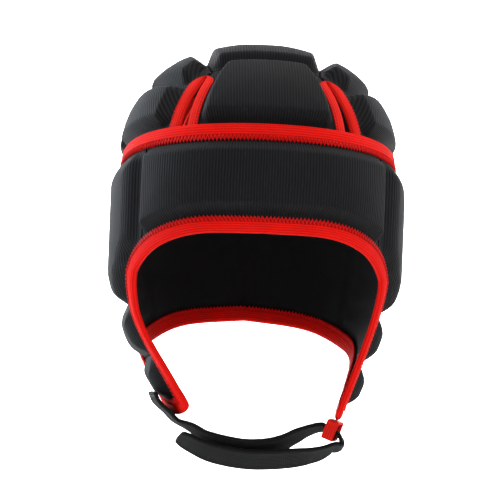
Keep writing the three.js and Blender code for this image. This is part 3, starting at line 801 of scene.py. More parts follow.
@dataclass(frozen=True)
class PadPlan:
    """A pad between four curves: low and high run left to right, left and right upwards."""

    name: str
    low: Curve
    high: Curve
    left: Curve
    right: Curve
    margins: tuple[Margin, Margin, Margin, Margin]
    foam: Foam
    lean: float = 0.0

    def mirrored(self, name: str) -> "PadPlan":
        """Return the same pad on the other half."""
        left, right, low, high = self.margins
        return PadPlan(name, turned(mirrored(self.low)), turned(mirrored(self.high)),
                       mirrored(self.right), mirrored(self.left),
                       (right, left, low.turned(), high.turned()), self.foam, -self.lean)


@dataclass
class PadMaker:
    """Makes moulded foam pads under knit, with crisp shoulders and rounded corners."""

    wardrobe: Wardrobe
    cloth: float = CLOTH
    edge_zone: float = 10.5
    corner: float = 7.0
    puff: float = 1.0
    puff_reach: float = 26.0
    fullness: float = 0.94
    groove: float = 0.9
    groove_reach: float = 0.7
    quilt: float = 0.8
    lining_lift: float = 0.6
    seam_limit: float = 3.0
    tape_inset: float = 1.0
    margin_step: float = 1.6
    fine: float = 0.62
    coarse: float = 2.4
    foot_soft: float = 0.22
    probes: int = 25

    def lines(self, length: float, start: float, end: float) -> np.ndarray:
        """Return grid lines across a pad, close together where its edges are moulded."""
        zone = self.edge_zone
        near = np.arange(0.0, zone, self.fine)
        count = max(2, int((length - start - end - 2 * zone) / self.coarse))
        middle = np.linspace(start + zone, length - end - zone, count)
        count_low, count_high = (max(2, int(margin / self.margin_step)) for margin in (start, end))
        edge_low = np.linspace(0, start, count_low, endpoint=False)
        edge_high = np.linspace(length, length - end, count_high, endpoint=False)
        far = length - end - near[::-1]
        lines = np.concatenate([edge_low, start + near, middle, far, edge_high[::-1]])
        return np.sort(np.clip(lines, 0, length)) / length

    def profile(self, x: np.ndarray, soft: float) -> np.ndarray:
        """Return how far the foam has risen, from 0 to 1, at shares of the shoulder behind its foot."""
        top = np.clip(0.5 + 0.5 * (1 - x) / soft, 0, 1)
        x = lerp(1.0, x, top) - soft * top * (1 - top)
        foot = np.clip(0.5 + 0.5 * x / self.foot_soft, 0, 1)
        return x * foot + self.foot_soft * foot * (1 - foot) * 0.5

    def surface(self, plan: PadPlan) -> tuple[np.ndarray, np.ndarray, np.ndarray]:
        """Work out a pad's points.

        Args:
            plan: the pad's outline and depths.

        Returns:
            Points on the head form, heights of the outer face, and distances from two sides.
        """
        foam = plan.foam
        outline = (plan.low, plan.high, plan.left, plan.right)
        low, high, left, right = (paced(side) for side in outline)
        m_left, m_right, m_low, m_high = plan.margins
        probe = np.linspace(0, 1, self.probes)
        across = (self.length(low(probe)) + self.length(high(probe))) / 2
        upward = (self.length(left(probe)) + self.length(right(probe))) / 2
        s_lines = self.lines(across, max(m_left.low, m_left.high), max(m_right.low, m_right.high))
        t_lines = self.lines(upward, max(m_low.low, m_low.high), max(m_high.low, m_high.high))
        s, t = np.meshgrid(s_lines, t_lines)
        in_left, in_right = self.inset(m_left.at(t)), self.inset(m_right.at(t))
        in_low, in_high = self.inset(m_low.at(s)), self.inset(m_high.at(s))
        s, t = (lerp(in_left / across, 1 - in_right / across, s),
                lerp(in_low / upward, 1 - in_high / upward, t))
        corners = [low(0.0)[0], low(1.0)[0], high(0.0)[0], high(1.0)[0]]
        sides = ((low, s), (high, s), (left, t), (right, t))
        e = [side(share.ravel()).reshape(s.shape + (3,)) for side, share in sides]
        s3, t3 = s[..., None], t[..., None]
        p = e[0] * (1 - t3) + e[1] * t3 + e[2] * (1 - s3) + e[3] * s3
        p -= corners[0] * (1 - s3) * (1 - t3) + corners[1] * s3 * (1 - t3)
        p -= corners[2] * (1 - s3) * t3 + corners[3] * s3 * t3
        p = HEAD.seat(p)
        step_s = np.linalg.norm(np.diff(p, axis=1), axis=-1)
        step_t = np.linalg.norm(np.diff(p, axis=0), axis=-1)
        from_left = in_left + np.pad(np.cumsum(step_s, axis=1), ((0, 0), (1, 0)))
        from_low = in_low + np.pad(np.cumsum(step_t, axis=0), ((1, 0), (0, 0)))
        from_right = from_left[:, -1:] + in_right[:, -1:] - from_left
        from_high = from_low[-1:] + in_high[-1:] - from_low
        depth_s = np.minimum(from_left - m_left.at(t), from_right - m_right.at(t))
        depth_t = np.minimum(from_low - m_low.at(s), from_high - m_high.at(s))
        r = self.corner
        rounded = r - np.hypot(np.maximum(r - depth_s, 0), np.maximum(r - depth_t, 0))
        depth = np.where((depth_s < r) & (depth_t < r), rounded, np.minimum(depth_s, depth_t))
        rise = self.profile(depth / foam.shoulder, foam.soft)
        bulge = self.puff * smooth_step(depth / self.puff_reach)
        height = foam.inner + self.cloth + (foam.thickness - self.cloth) * rise * self.fullness + bulge
        for distance, margin in ((from_left, m_left.at(t)), (from_right, m_right.at(t)),
                                 (from_low, m_low.at(s)), (from_high, m_high.at(s))):
            groove = self.groove * np.exp(-(distance / self.groove_reach) ** 2)
            height -= np.where(margin < self.seam_limit, groove, 0.0)
        return p, height, np.stack([from_left, from_low], axis=-1)

    def inset(self, margin: np.ndarray) -> np.ndarray:
        """Return how far the fabric stops short of an edge that tape is folded over."""
        return self.tape_inset * smooth_step((margin - self.seam_limit) / self.seam_limit)

    @staticmethod
    def length(points: np.ndarray) -> float:
        """Return the length of a line of points."""
        return float(np.linalg.norm(np.diff(points, axis=0), axis=1).sum())

    def make(self, plan: PadPlan) -> None:
        """Make a pad with its lining and name it."""
        p, height, sides = self.surface(plan)
        rows, columns = height.shape
        shell = Shell()
        middle = sides[:, columns // 2, 0][:, None]
        u = sides[..., 0] - middle
        v = sides[..., 1]
        c, s = math.cos(math.radians(plan.lean)), math.sin(math.radians(plan.lean))
        lay = np.stack([u * c - v * s, u * s + v * c], axis=-1)
        normal = HEAD.normal(p)
        outer = shell.add(SWING.move(p + normal * height[..., None]), lay)
        foam = plan.foam
        risen = (height - foam.inner - self.cloth) / (foam.thickness - self.cloth)
        lining = foam.inner + self.lining_lift - self.quilt * smooth_step(risen)
        inner = shell.add(SWING.move(p + normal * lining[..., None]), lay)
        shell.quads(grid_quads(outer, rows, columns), 0)
        shell.quads(grid_quads(inner, rows, columns)[..., ::-1], 1)
        ring = np.concatenate([np.arange(columns), np.arange(2 * columns - 1, rows * columns, columns),
                               np.arange(rows * columns - 2, (rows - 1) * columns - 1, -1),
                               np.arange((rows - 2) * columns, 0, -columns)])
        after = np.roll(ring, -1)
        shell.quads(np.stack([ring, inner - outer + ring, inner - outer + after, after], axis=-1), 1)
        finishes = [self.wardrobe.knit, self.wardrobe.lining]
        piece = shell.build(f"{plan.name}_cover", finishes, Slot.FABRIC, [plan.name])

    def make_pairs(self, plans: Sequence[PadPlan]) -> None:
        """Make pads of the left half, each with its mirror image."""
        for plan in plans:
            self.make(plan)
            self.make(plan.mirrored(plan.name.replace("_left", "_right")))


@dataclass
class Crown:
    """The crown: a centre strip of four pads and side strips of two pads, with vents between."""

    maker: PadMaker
    diagonal: float = 38.0
    vent_top_half: float = 37.0
    vent_top_forward: float = 60.0
    vent_foot_half: float = 50.0
    vent_foot_open: float = 5.5
    rear_foot_open: float = 1.2
    vent_top_open: float = 1.6
    seam_share: float = 0.66
    seam_drop: float = 20.0
    half_width: float = HEAD.half_width

    def __post_init__(self) -> None:
        """Place the vents' feet and tops and the seams' corners."""
        top = HEAD.seat(np.array([self.vent_top_half, -self.vent_top_forward, 0.0]))
        side = np.array([self.vent_top_open / 2, 0, 0])
        self.inner_top, self.outer_top = HEAD.seat(top - side), HEAD.seat(top + side)
        self.middle = HEAD.seat(np.array([self.vent_top_half, 0.0, 0.0]))
        self.seam_middle = HEAD.seat(np.array([self.half_width, 0.0, -self.seam_drop]))
        self.inner_turn = self.hem_turn(self.vent_foot_half - self.vent_foot_open / 2)
        self.outer_turn = self.hem_turn(self.vent_foot_half + self.vent_foot_open / 2)
        self.inner = chord(CUT.crown_hem(self.inner_turn), self.inner_top)
        self.outer = chord(CUT.crown_hem(self.outer_turn), self.outer_top)
        self.rear_inner_turn = 180 - self.hem_turn(self.vent_foot_half - self.rear_foot_open / 2)
        self.rear_outer_turn = 180 - self.hem_turn(self.vent_foot_half + self.rear_foot_open / 2)
        self.rear_inner = chord(CUT.crown_hem(self.rear_inner_turn), self.inner_top * BACK)
        self.rear_outer = chord(CUT.crown_hem(self.rear_outer_turn), self.outer_top * BACK)

    @staticmethod
    def hem_turn(x: float) -> float:
        """Return the azimuth at which the crown's hem lies this far to the side."""
        turn, rounds, pace = 30.0, 20, 0.6
        for _ in range(rounds):
            turn += (x - CUT.crown_hem(turn)[0]) * pace
        return turn

    def centre_plans(self) -> list[PadPlan]:
        """Return the plans of the centre strip."""
        top_front = chord(self.inner_top * FLIP, self.inner_top)
        top_rear = chord(self.inner_top * FLIP * BACK, self.inner_top * BACK)
        middle = chord(self.middle * FLIP, self.middle)
        side_front = chord(self.inner_top, self.middle)
        side_rear = chord(self.middle, self.inner_top * BACK)
        turn, rear_turn = self.inner_turn, self.rear_inner_turn
        ends = (VENT_SIDE, VENT_SIDE, CROWN_FOOT, SEAM)
        seams = (SEAM, SEAM, SEAM, SEAM)
        return [
            PadPlan("crown_front_pad", part(CUT.crown_hem, -turn, turn), top_front,
                    mirrored(self.inner), self.inner, ends, CROWN_FOAM),
            PadPlan("crown_top_front_pad", top_front, middle, mirrored(side_front), side_front, seams,
                    CROWN_FOAM),
            PadPlan("crown_top_rear_pad", middle, top_rear, mirrored(side_rear), side_rear, seams,
                    CROWN_FOAM),
            PadPlan("crown_rear_pad", part(CUT.crown_hem, rear_turn, 360 - rear_turn),
                    turned(top_rear), self.rear_inner, mirrored(self.rear_inner), ends, CROWN_FOAM),
        ]

    def side_plans(self) -> list[PadPlan]:
        """Return the plans of the left side strip."""
        share = self.seam_share
        foot, rear_foot = self.outer(share)[0], self.rear_outer(share)[0]
        seam_front, seam_rear = chord(foot, self.seam_middle), chord(self.seam_middle, rear_foot)
        lower_middle = chord(CUT.crown_hem(90), self.seam_middle)
        upper_middle = chord(self.seam_middle, self.middle)
        turn, rear_turn = self.outer_turn, self.rear_outer_turn
        lean = self.diagonal
        return [
            PadPlan("crown_upper_front_left", seam_front, chord(self.outer_top, self.middle),
                    part(self.outer, share, 1), upper_middle,
                    (VENT_SIDE, SEAM, SEAM, SEAM), CROWN_FOAM, lean),
            PadPlan("crown_upper_rear_left", seam_rear, chord(self.middle, self.outer_top * BACK),
                    upper_middle, part(self.rear_outer, share, 1),
                    (SEAM, VENT_SIDE, SEAM, SEAM), CROWN_FOAM, -lean),
            PadPlan("crown_lower_front_left", part(CUT.crown_hem, turn, 90), seam_front,
                    part(self.outer, 0, share), lower_middle,
                    (VENT_SIDE, SEAM, CROWN_FOOT, SEAM), CROWN_FOAM, lean),
            PadPlan("crown_lower_rear_left", part(CUT.crown_hem, 90, rear_turn), seam_rear,
                    lower_middle, part(self.rear_outer, 0, share),
                    (SEAM, VENT_SIDE, CROWN_FOOT, SEAM), CROWN_FOAM, -lean),
        ]

    def build(self) -> None:
        """Make the crown's pads."""
        for plan in self.centre_plans():
            self.maker.make(plan)
        self.maker.make_pairs(self.side_plans())


@dataclass
class Band:
    """The band round the head with its two ear flaps."""

    maker: PadMaker
    channel: Margin = Margin(12.6, 4.4, 0.32, 0.12)
    jaw_foot: Margin = Margin(SEAM.low, 12.6, 0.42, 0.12)
    face_edge_share: float = 0.35
    jaw_foot_share: float = 0.58

    @staticmethod
    def upright(turn: float, foot: float) -> Curve:
        """Return the line up the wall from a height to the band's top edge."""
        return part(lambda z: HEAD.wall(turn, z), foot, CUT.band_height(turn))

    @staticmethod
    def level(a: np.ndarray, b: np.ndarray) -> Curve:
        """Return the line along the wall between two points."""
        start, end = ((math.degrees(math.atan2(p[0], -p[1])), p[2]) for p in (a, b))
        return lambda t: HEAD.wall(*(lerp(low, high, np.atleast_1d(t)) for low, high in zip(start, end)))

    def plans(self) -> list[PadPlan]:
        """Return the plans of the left half's pads."""
        cheek, nape = HEM.corner("cheek"), HEM.corner("nape_side")
        jaw_low, jaw_rear = HEM.corner("jaw_low"), HEM.corner("jaw_rear")
        temple = HEM.corner("temple")
        ear_low = HEAD.wall(CUT.temple_turn, cheek[2])
        ear_rear = HEAD.wall(CUT.ear_turn, cheek[2])
        upright, level = self.upright, self.level
        face_edge = chained(HEM.curve("cheek", "temple"), upright(CUT.forehead_turn, temple[2]),
                            self.face_edge_share)
        jaw_edge = chained(level(jaw_low, jaw_rear), HEM.curve("jaw_rear", "nape_side"),
                           self.jaw_foot_share)
        return [
            PadPlan("temple_pad_left", level(cheek, ear_low),
                    part(CUT.band_edge, CUT.forehead_turn, CUT.temple_turn),
                    face_edge, upright(CUT.temple_turn, ear_low[2]),
                    (self.channel, SEAM, SEAM, TAPED), FLAP_FOAM),
            PadPlan("ear_pad_left", level(ear_low, ear_rear),
                    part(CUT.band_edge, CUT.temple_turn, CUT.ear_turn),
                    upright(CUT.temple_turn, ear_low[2]), upright(CUT.ear_turn, ear_rear[2]),
                    (SEAM, SEAM, SEAM, TAPED), FLAP_FOAM),
            PadPlan("back_pad_left", HEM.curve("nape_side", "neck"),
                    part(CUT.band_edge, CUT.ear_turn, 180),
                    upright(CUT.ear_turn, nape[2]), upright(180, -CUT.neck),
                    (SEAM, SEAM, TAPED, TAPED), BAND_FOAM),
            PadPlan("jaw_pad_left", jaw_edge, level(cheek, ear_rear), HEM.curve("jaw_low", "cheek"),
                    level(nape, ear_rear), (TAPED, SEAM, self.jaw_foot, SEAM), FLAP_FOAM),
            PadPlan("chin_pad_left", HEM.curve("tip_front", "tip_rear"), level(jaw_low, jaw_rear),
                    HEM.curve("tip_front", "jaw_low"), HEM.curve("tip_rear", "jaw_rear"),
                    (TAPED, SLANTED, TAPED, SEAM), FLAP_FOAM),
        ]

    def forehead(self) -> PadPlan:
        """Return the plan of the wide pad over the brow."""
        turn, last = CUT.forehead_turn, HEM.index("temple")
        side = self.upright(turn, HEM.corner("temple")[2])
        return PadPlan("forehead_pad", part(HEM.signed, -last, last), part(CUT.band_edge, -turn, turn),
                       mirrored(side), side, (SEAM, SEAM, SLANTED, TAPED), BAND_FOAM)

    def build(self) -> None:
        """Make the band's pads."""
        self.maker.make(self.forehead())
        self.maker.make_pairs(self.plans())


# A stitch's rings, as share of its length, lift and share of its radius.
STITCH_RUN = ((0, -0.2, 0.5), (0.25, 0.12, 1.0), (0.75, 0.12, 1.0), (1, -0.2, 0.5))
# A stitch's section round its middle.
STITCH_SECTION = ((1, 0), (0.3, 0.9), (-0.3, 0.9), (-1, 0), (0, -0.9))


@dataclass
class TapeMaker:
    """Folds tape over edges and sews it down."""

    wardrobe: Wardrobe
    thickness: float = TAPE_THICKNESS
    cloth: float = CLOTH
    clearance: float = 0.1
    step: float = 0.7
    pitch: float = 2.1
    swell: float = 0.35
    bend_start: float = 0.35
    bend_points: int = 9
    edge_blur: int = 5
    zigzag_over: float = 0.9
    zigzag_back: float = 2.3
    zigzag_sunk: float = 0.35
    zigzag_raised: float = 0.25
    zigzag_radius: float = 0.38
    zigzag_crest: float = 0.12
    thread_sides: int = 5
    stitch_pitch: float = 2.6
    stitch_radius: float = 0.28

    def resample(self, path: np.ndarray, closed: bool) -> np.ndarray:
        """Return the path with even steps."""
        line = np.concatenate([path, path[:1]]) if closed else path
        run = run_length(line)
        count = int(run[-1] / self.step)
        at = np.linspace(0, run[-1], count, endpoint=not closed)
        return np.stack([np.interp(at, run, line[:, k]) for k in range(3)], axis=1)

    def edge_frame(self, path: np.ndarray, closed: bool, inward: int, width: float) -> np.ndarray:
        """Return the points where the tape's stitched edge runs.

        Args:
            path: the fabric's edge.
            closed: whether it is a loop.
            inward: the side on which the fabric lies.
            width: the tape's width.

        Returns:
            One point for each point of the path, on the head form.
        """
        if closed:
            tangent = np.roll(path, -1, 0) - np.roll(path, 1, 0)
        else:
            tangent = np.gradient(path, axis=0)
        side = unit(np.cross(unit(tangent), HEAD.normal(path))) * inward
        reach = HEAD.seat(path + side * width)
        return HEAD.seat(blur(reach, self.edge_blur, closed))

    def section(self, inner: float, width: float) -> tuple[list[tuple[float, float]], int]:
        """Return the folded tape's section and how many of its points lie on the outside.

        Args:
            inner: height of the fabric's inner face.
            width: the tape's width on each face.

        Returns:
            Shares of the way from the fold to the stitched edge with heights, and the count. They
            run over the upper face, round the fold, under the lower face and back inside.
        """
        low, high = inner - self.clearance, inner + self.cloth + self.clearance
        t, swell = self.thickness, self.swell
        mid, half = (low + high) / 2, (high - low) / 2 + t
        outside = [(1.0, high + t * 0.55), (0.965, high + t), (0.8, high + t + swell * 0.6),
                   (0.5, high + t + swell), (0.24, high + t + swell * 0.8)]
        bend = np.linspace(self.bend_start, math.pi - self.bend_start, self.bend_points)
        outside += [(0.16 - 0.16 * math.sin(a), mid + half * math.cos(a)) for a in bend]
        outside += [(0.24, low - t), (0.5, low - t), (0.965, low - t), (1.0, low - t * 0.55)]
        inside = [(0.99, low), (t / width, low), (t / width, high), (0.99, high)]
        return outside + inside, len(outside)

    def fold(self, name: str, path: np.ndarray, closed: bool, inward: int, inner: float, width: float,
             finish: bpy.types.Material, node: str, ripple: float) -> tuple[np.ndarray, np.ndarray]:
        """Fold a tape over an edge and build it.

        Args:
            name: the object's name.
            path: the edge's points.
            closed: whether the edge is a loop.
            inward: the side on which the fabric lies.
            inner: height of the fabric's inner face.
            width: the tape's width on each face.
            finish: the tape's material.
            node: the solid that it stands for.
            ripple: how far its stitched edge waves.

        Returns:
            The path and the stitched edge's points.
        """
        path = self.resample(path, closed)
        edge = self.edge_frame(path, closed, inward, width)
        section, faces = self.section(inner, width)
        along = np.arange(len(path)) * self.step
        wave = ripple * np.sin(along / self.pitch * math.tau) / width
        flat = np.array(section) * (width, 1.0)
        arc = run_length(flat)
        on_face = width - np.minimum(arc, arc[faces - 1] - arc)
        spread = np.where(np.arange(len(section)) < faces, on_face, flat[:, 0])
        rings, lay = [], []
        for (share, height), v in zip(section, spread):
            reach = share + wave * smooth_step(np.array((share - 0.9) / 0.1))
            base = HEAD.seat(path + (edge - path) * reach[:, None])
            rings.append(SWING.move(HEAD.raised(base, np.full(len(path), height))))
            lay.append(np.stack([along, np.full(len(path), v)], axis=-1))
        shell = Shell()
        first = shell.add(np.stack(rings, axis=1), np.stack(lay, axis=1))
        count = len(section)
        shell.quads(grid_quads(first, len(path), count, loop_rows=closed, loop_columns=True))
        if not closed:
            for base in (first, first + (len(path) - 1) * count):
                self.cap(shell, base, count)
        shell.build(name, [finish], Slot.TAPE, [node], crease=40.0)
        return path, edge

    @staticmethod
    def cap(shell: Shell, base: int, count: int) -> None:
        """Lay one face across an end of the tape, near its fold. The rest of the end stays open."""
        outside, inside = base + 3, base + count - 1
        shell.quads(np.array([(outside, outside + 1, inside - 1, inside)]))

    def zigzag(self, name: str, path: np.ndarray, edge: np.ndarray, width: float,
               height: float) -> None:
        """Sew a zigzag over a looped tape's edge, one slim thread in a row of bends."""
        along = len(path) * self.step
        count = int(along / self.pitch) * 2
        index = (np.arange(count) / count * len(path)).astype(int) % len(path)
        beyond = np.arange(count) % 2 == 0
        share = np.where(beyond, (width + self.zigzag_over) / width, (width - self.zigzag_back) / width)
        base = HEAD.seat(path[index] + (edge[index] - path[index]) * share[:, None])
        level = np.where(beyond, height - self.zigzag_sunk, height + self.zigzag_raised)
        self.thread(name, HEAD.raised(base, level), self.zigzag_radius, self.wardrobe.red_thread)

    def run_stitch(self, name: str, path: np.ndarray, edge: np.ndarray, share: float, height: float,
                   finish: bpy.types.Material) -> None:
        """Sew a row of straight stitches along the tape."""
        each = max(1, int(self.stitch_pitch / self.step))
        starts = np.arange(1, len(path) - each, each)
        base = HEAD.seat(path + (edge - path) * share)
        shell = Shell()
        line = HEAD.raised(base, np.full(len(path), height))
        normal = HEAD.normal(base)
        for k in starts:
            a, b = line[k], line[k + each - 1]
            self.stitch(shell, a, b, normal[k], self.stitch_radius)
        shell.build(name, [finish], Slot.TAPE)

    @staticmethod
    def stitch(shell: Shell, a: np.ndarray, b: np.ndarray, up: np.ndarray, radius: float) -> None:
        """Add one short stitch, sunk at its ends."""
        way = unit(b - a)
        side = unit(np.cross(way, up))
        rings = []
        for share, lift, size in STITCH_RUN:
            centre = a + (b - a) * share + up * lift
            rings.append([centre + (side * x + up * y) * radius * size for x, y in STITCH_SECTION])
        points = np.array(rings)
        rows, columns = len(STITCH_RUN), len(STITCH_SECTION)
        first = shell.add(points, np.zeros((rows, columns, 2)))
        shell.quads(grid_quads(first, rows, columns, loop_columns=True))

    def thread(self, name: str, knots: np.ndarray, radius: float, finish: bpy.types.Material) -> None:
        """Run a looped thread through knots as a slim tube."""
        line = np.concatenate([knots, knots[:1]])
        fine = [line[:-1] + (line[1:] - line[:-1]) * share for share in (0.0, 0.34, 0.66)]
        points = np.stack(fine, axis=1).reshape(-1, 3)
        normal = HEAD.normal(HEAD.seat(points))
        lift = np.tile([0.0, self.zigzag_crest, self.zigzag_crest], len(line) - 1)
        points = points + normal * lift[:, None]
        tangent = np.roll(points, -1, 0) - np.roll(points, 1, 0)
        side = unit(np.cross(unit(tangent), normal))
        angles = np.arange(self.thread_sides) / self.thread_sides * math.tau
        rings = points[:, None] + radius * (np.cos(angles)[None, :, None] * side[:, None]
                                            + np.sin(angles)[None, :, None] * normal[:, None])
        shell = Shell()
        first = shell.add(SWING.move(rings), np.zeros(rings.shape[:2] + (2,)))
        shell.quads(grid_quads(first, len(points), self.thread_sides, loop_rows=True, loop_columns=True))
        shell.build(name, [finish], Slot.TAPE)


@dataclass
class Bindings:
    """The tape round the band's top, the hem and the four vents."""

    maker: TapeMaker
    crown: Crown
    offset: float = BAND_FOAM.inner
    width: float = 9.5
    ripple: float = 0.6
    thread_above: float = 0.2
    thread_below: float = 0.85
    vent_width: float = 7.0
    arch: float = 9.0
    arch_step: int = 15
    tuck: float = 4.0
    stitch_share: float = 0.84
    stitch_above: float = 0.1
    band_points: int = 720
    hem_points: int = 1600
    side_points: int = 80

    def band(self) -> None:
        """Bind the band's top edge."""
        path = CUT.band_edge(np.linspace(0, 360, self.band_points + 1)[:-1])
        path, edge = self.maker.fold("band_top_tape", path, True, 1, self.offset, self.width,
                                     self.maker.wardrobe.tape, "band_top_binding", self.ripple)
        self.sew("band_top", path, edge)

    def hem(self) -> None:
        """Bind the hem round the face, both flaps and the neck."""
        path = HEM.signed(np.linspace(-HEM.last, HEM.last, self.hem_points + 1)[:-1])
        path, edge = self.maker.fold("hem_tape", path, True, -1, self.offset, self.width,
                                     self.maker.wardrobe.tape, "hem_binding", self.ripple)
        self.sew("hem", path, edge)

    def sew(self, name: str, path: np.ndarray, edge: np.ndarray) -> None:
        """Sew both faces of a folded tape with a zigzag."""
        maker = self.maker
        top = self.offset + maker.cloth + maker.clearance + maker.thickness + self.thread_above
        maker.zigzag(f"{name}_zigzag", path, edge, self.width, top)
        maker.zigzag(f"{name}_zigzag_inside", path, edge, self.width, self.offset - self.thread_below)

    def vent(self, name: str, inner: Curve, outer: Curve) -> None:
        """Bind a vent up one side, over its rounded top and down the other."""
        probe = np.linspace(0, 1, 30)
        length = PadMaker.length(inner(probe))
        foot, top = self.tuck / length, 1 - self.arch / length
        t = np.linspace(foot, top, self.side_points)
        up, down = inner(t), outer(t)[::-1]
        rise = unit(up[-1] - up[-6])
        middle, across = (up[-1] + down[0]) / 2, (down[0] - up[-1]) / 2
        angles = np.radians(np.arange(self.arch_step, 180, self.arch_step))
        arch = middle - np.cos(angles)[:, None] * across
        arch = arch + np.sin(angles)[:, None] * rise * np.linalg.norm(across)
        path = np.concatenate([up, HEAD.seat(arch), down])
        inward = 1 if across[0] * path[0, 1] > 0 else -1
        path, edge = self.maker.fold(f"{name}_tape", path, False, inward, 0.0, self.vent_width,
                                     self.maker.wardrobe.vent_tape, name, 0.0)
        maker = self.maker
        height = maker.cloth + maker.clearance + maker.thickness + self.stitch_above
        maker.run_stitch(f"{name}_stitches", path, edge, self.stitch_share, height,
                         maker.wardrobe.dark_thread)

    def build(self) -> None:
        """Bind every edge."""
        self.band()
        self.hem()
        crown = self.crown
        self.vent("vent_binding_front_left", crown.inner, crown.outer)
        self.vent("vent_binding_front_right", mirrored(crown.inner), mirrored(crown.outer))
        self.vent("vent_binding_rear_left", crown.rear_inner, crown.rear_outer)
        self.vent("vent_binding_rear_right", mirrored(crown.rear_inner), mirrored(crown.rear_outer))


@dataclass(frozen=True)
class StrapRow:
    """A place of the strap as shares of its half span, drop, distance ahead and lean."""

    side: float
    drop: float
    ahead: float
    lean: float


@dataclass
class FlapFrame:
    """The frame of a strap's end on a flap: forward, down the wall, and out, turned to the face."""

    half: Half
    face_turn: float
    height: float
    turn: float = 61.0

    def __post_init__(self) -> None:
        """Work out the three directions at the flap's tip."""
        tip = HEAD.wall(self.half.value * self.turn, -CUT.flap)
        wall = HEAD.normal(tip)
        forward = unit(np.array([0.0, -1.0, 0.0]) + wall * wall[1])
        down = unit(np.cross(forward, wall))
        self.down = -down if down[2] > 0 else down
        c, s = math.cos(math.radians(self.face_turn)), math.sin(math.radians(self.face_turn))
        self.across = forward * c - wall * s
        self.out = wall * c + forward * s
        self.seat = SWING.move(tip + wall * self.height)

    def at(self, forward: float, low: float, high: float) -> np.ndarray:
        """Return a point of the frame."""
        return self.seat + self.across * forward + self.down * low + self.out * high


@dataclass(frozen=True)
class FlapRow:
    """A place of the strap at a flap: down the wall, out from it, and lean."""

    low: float
    high: float
    lean: float = 0.0


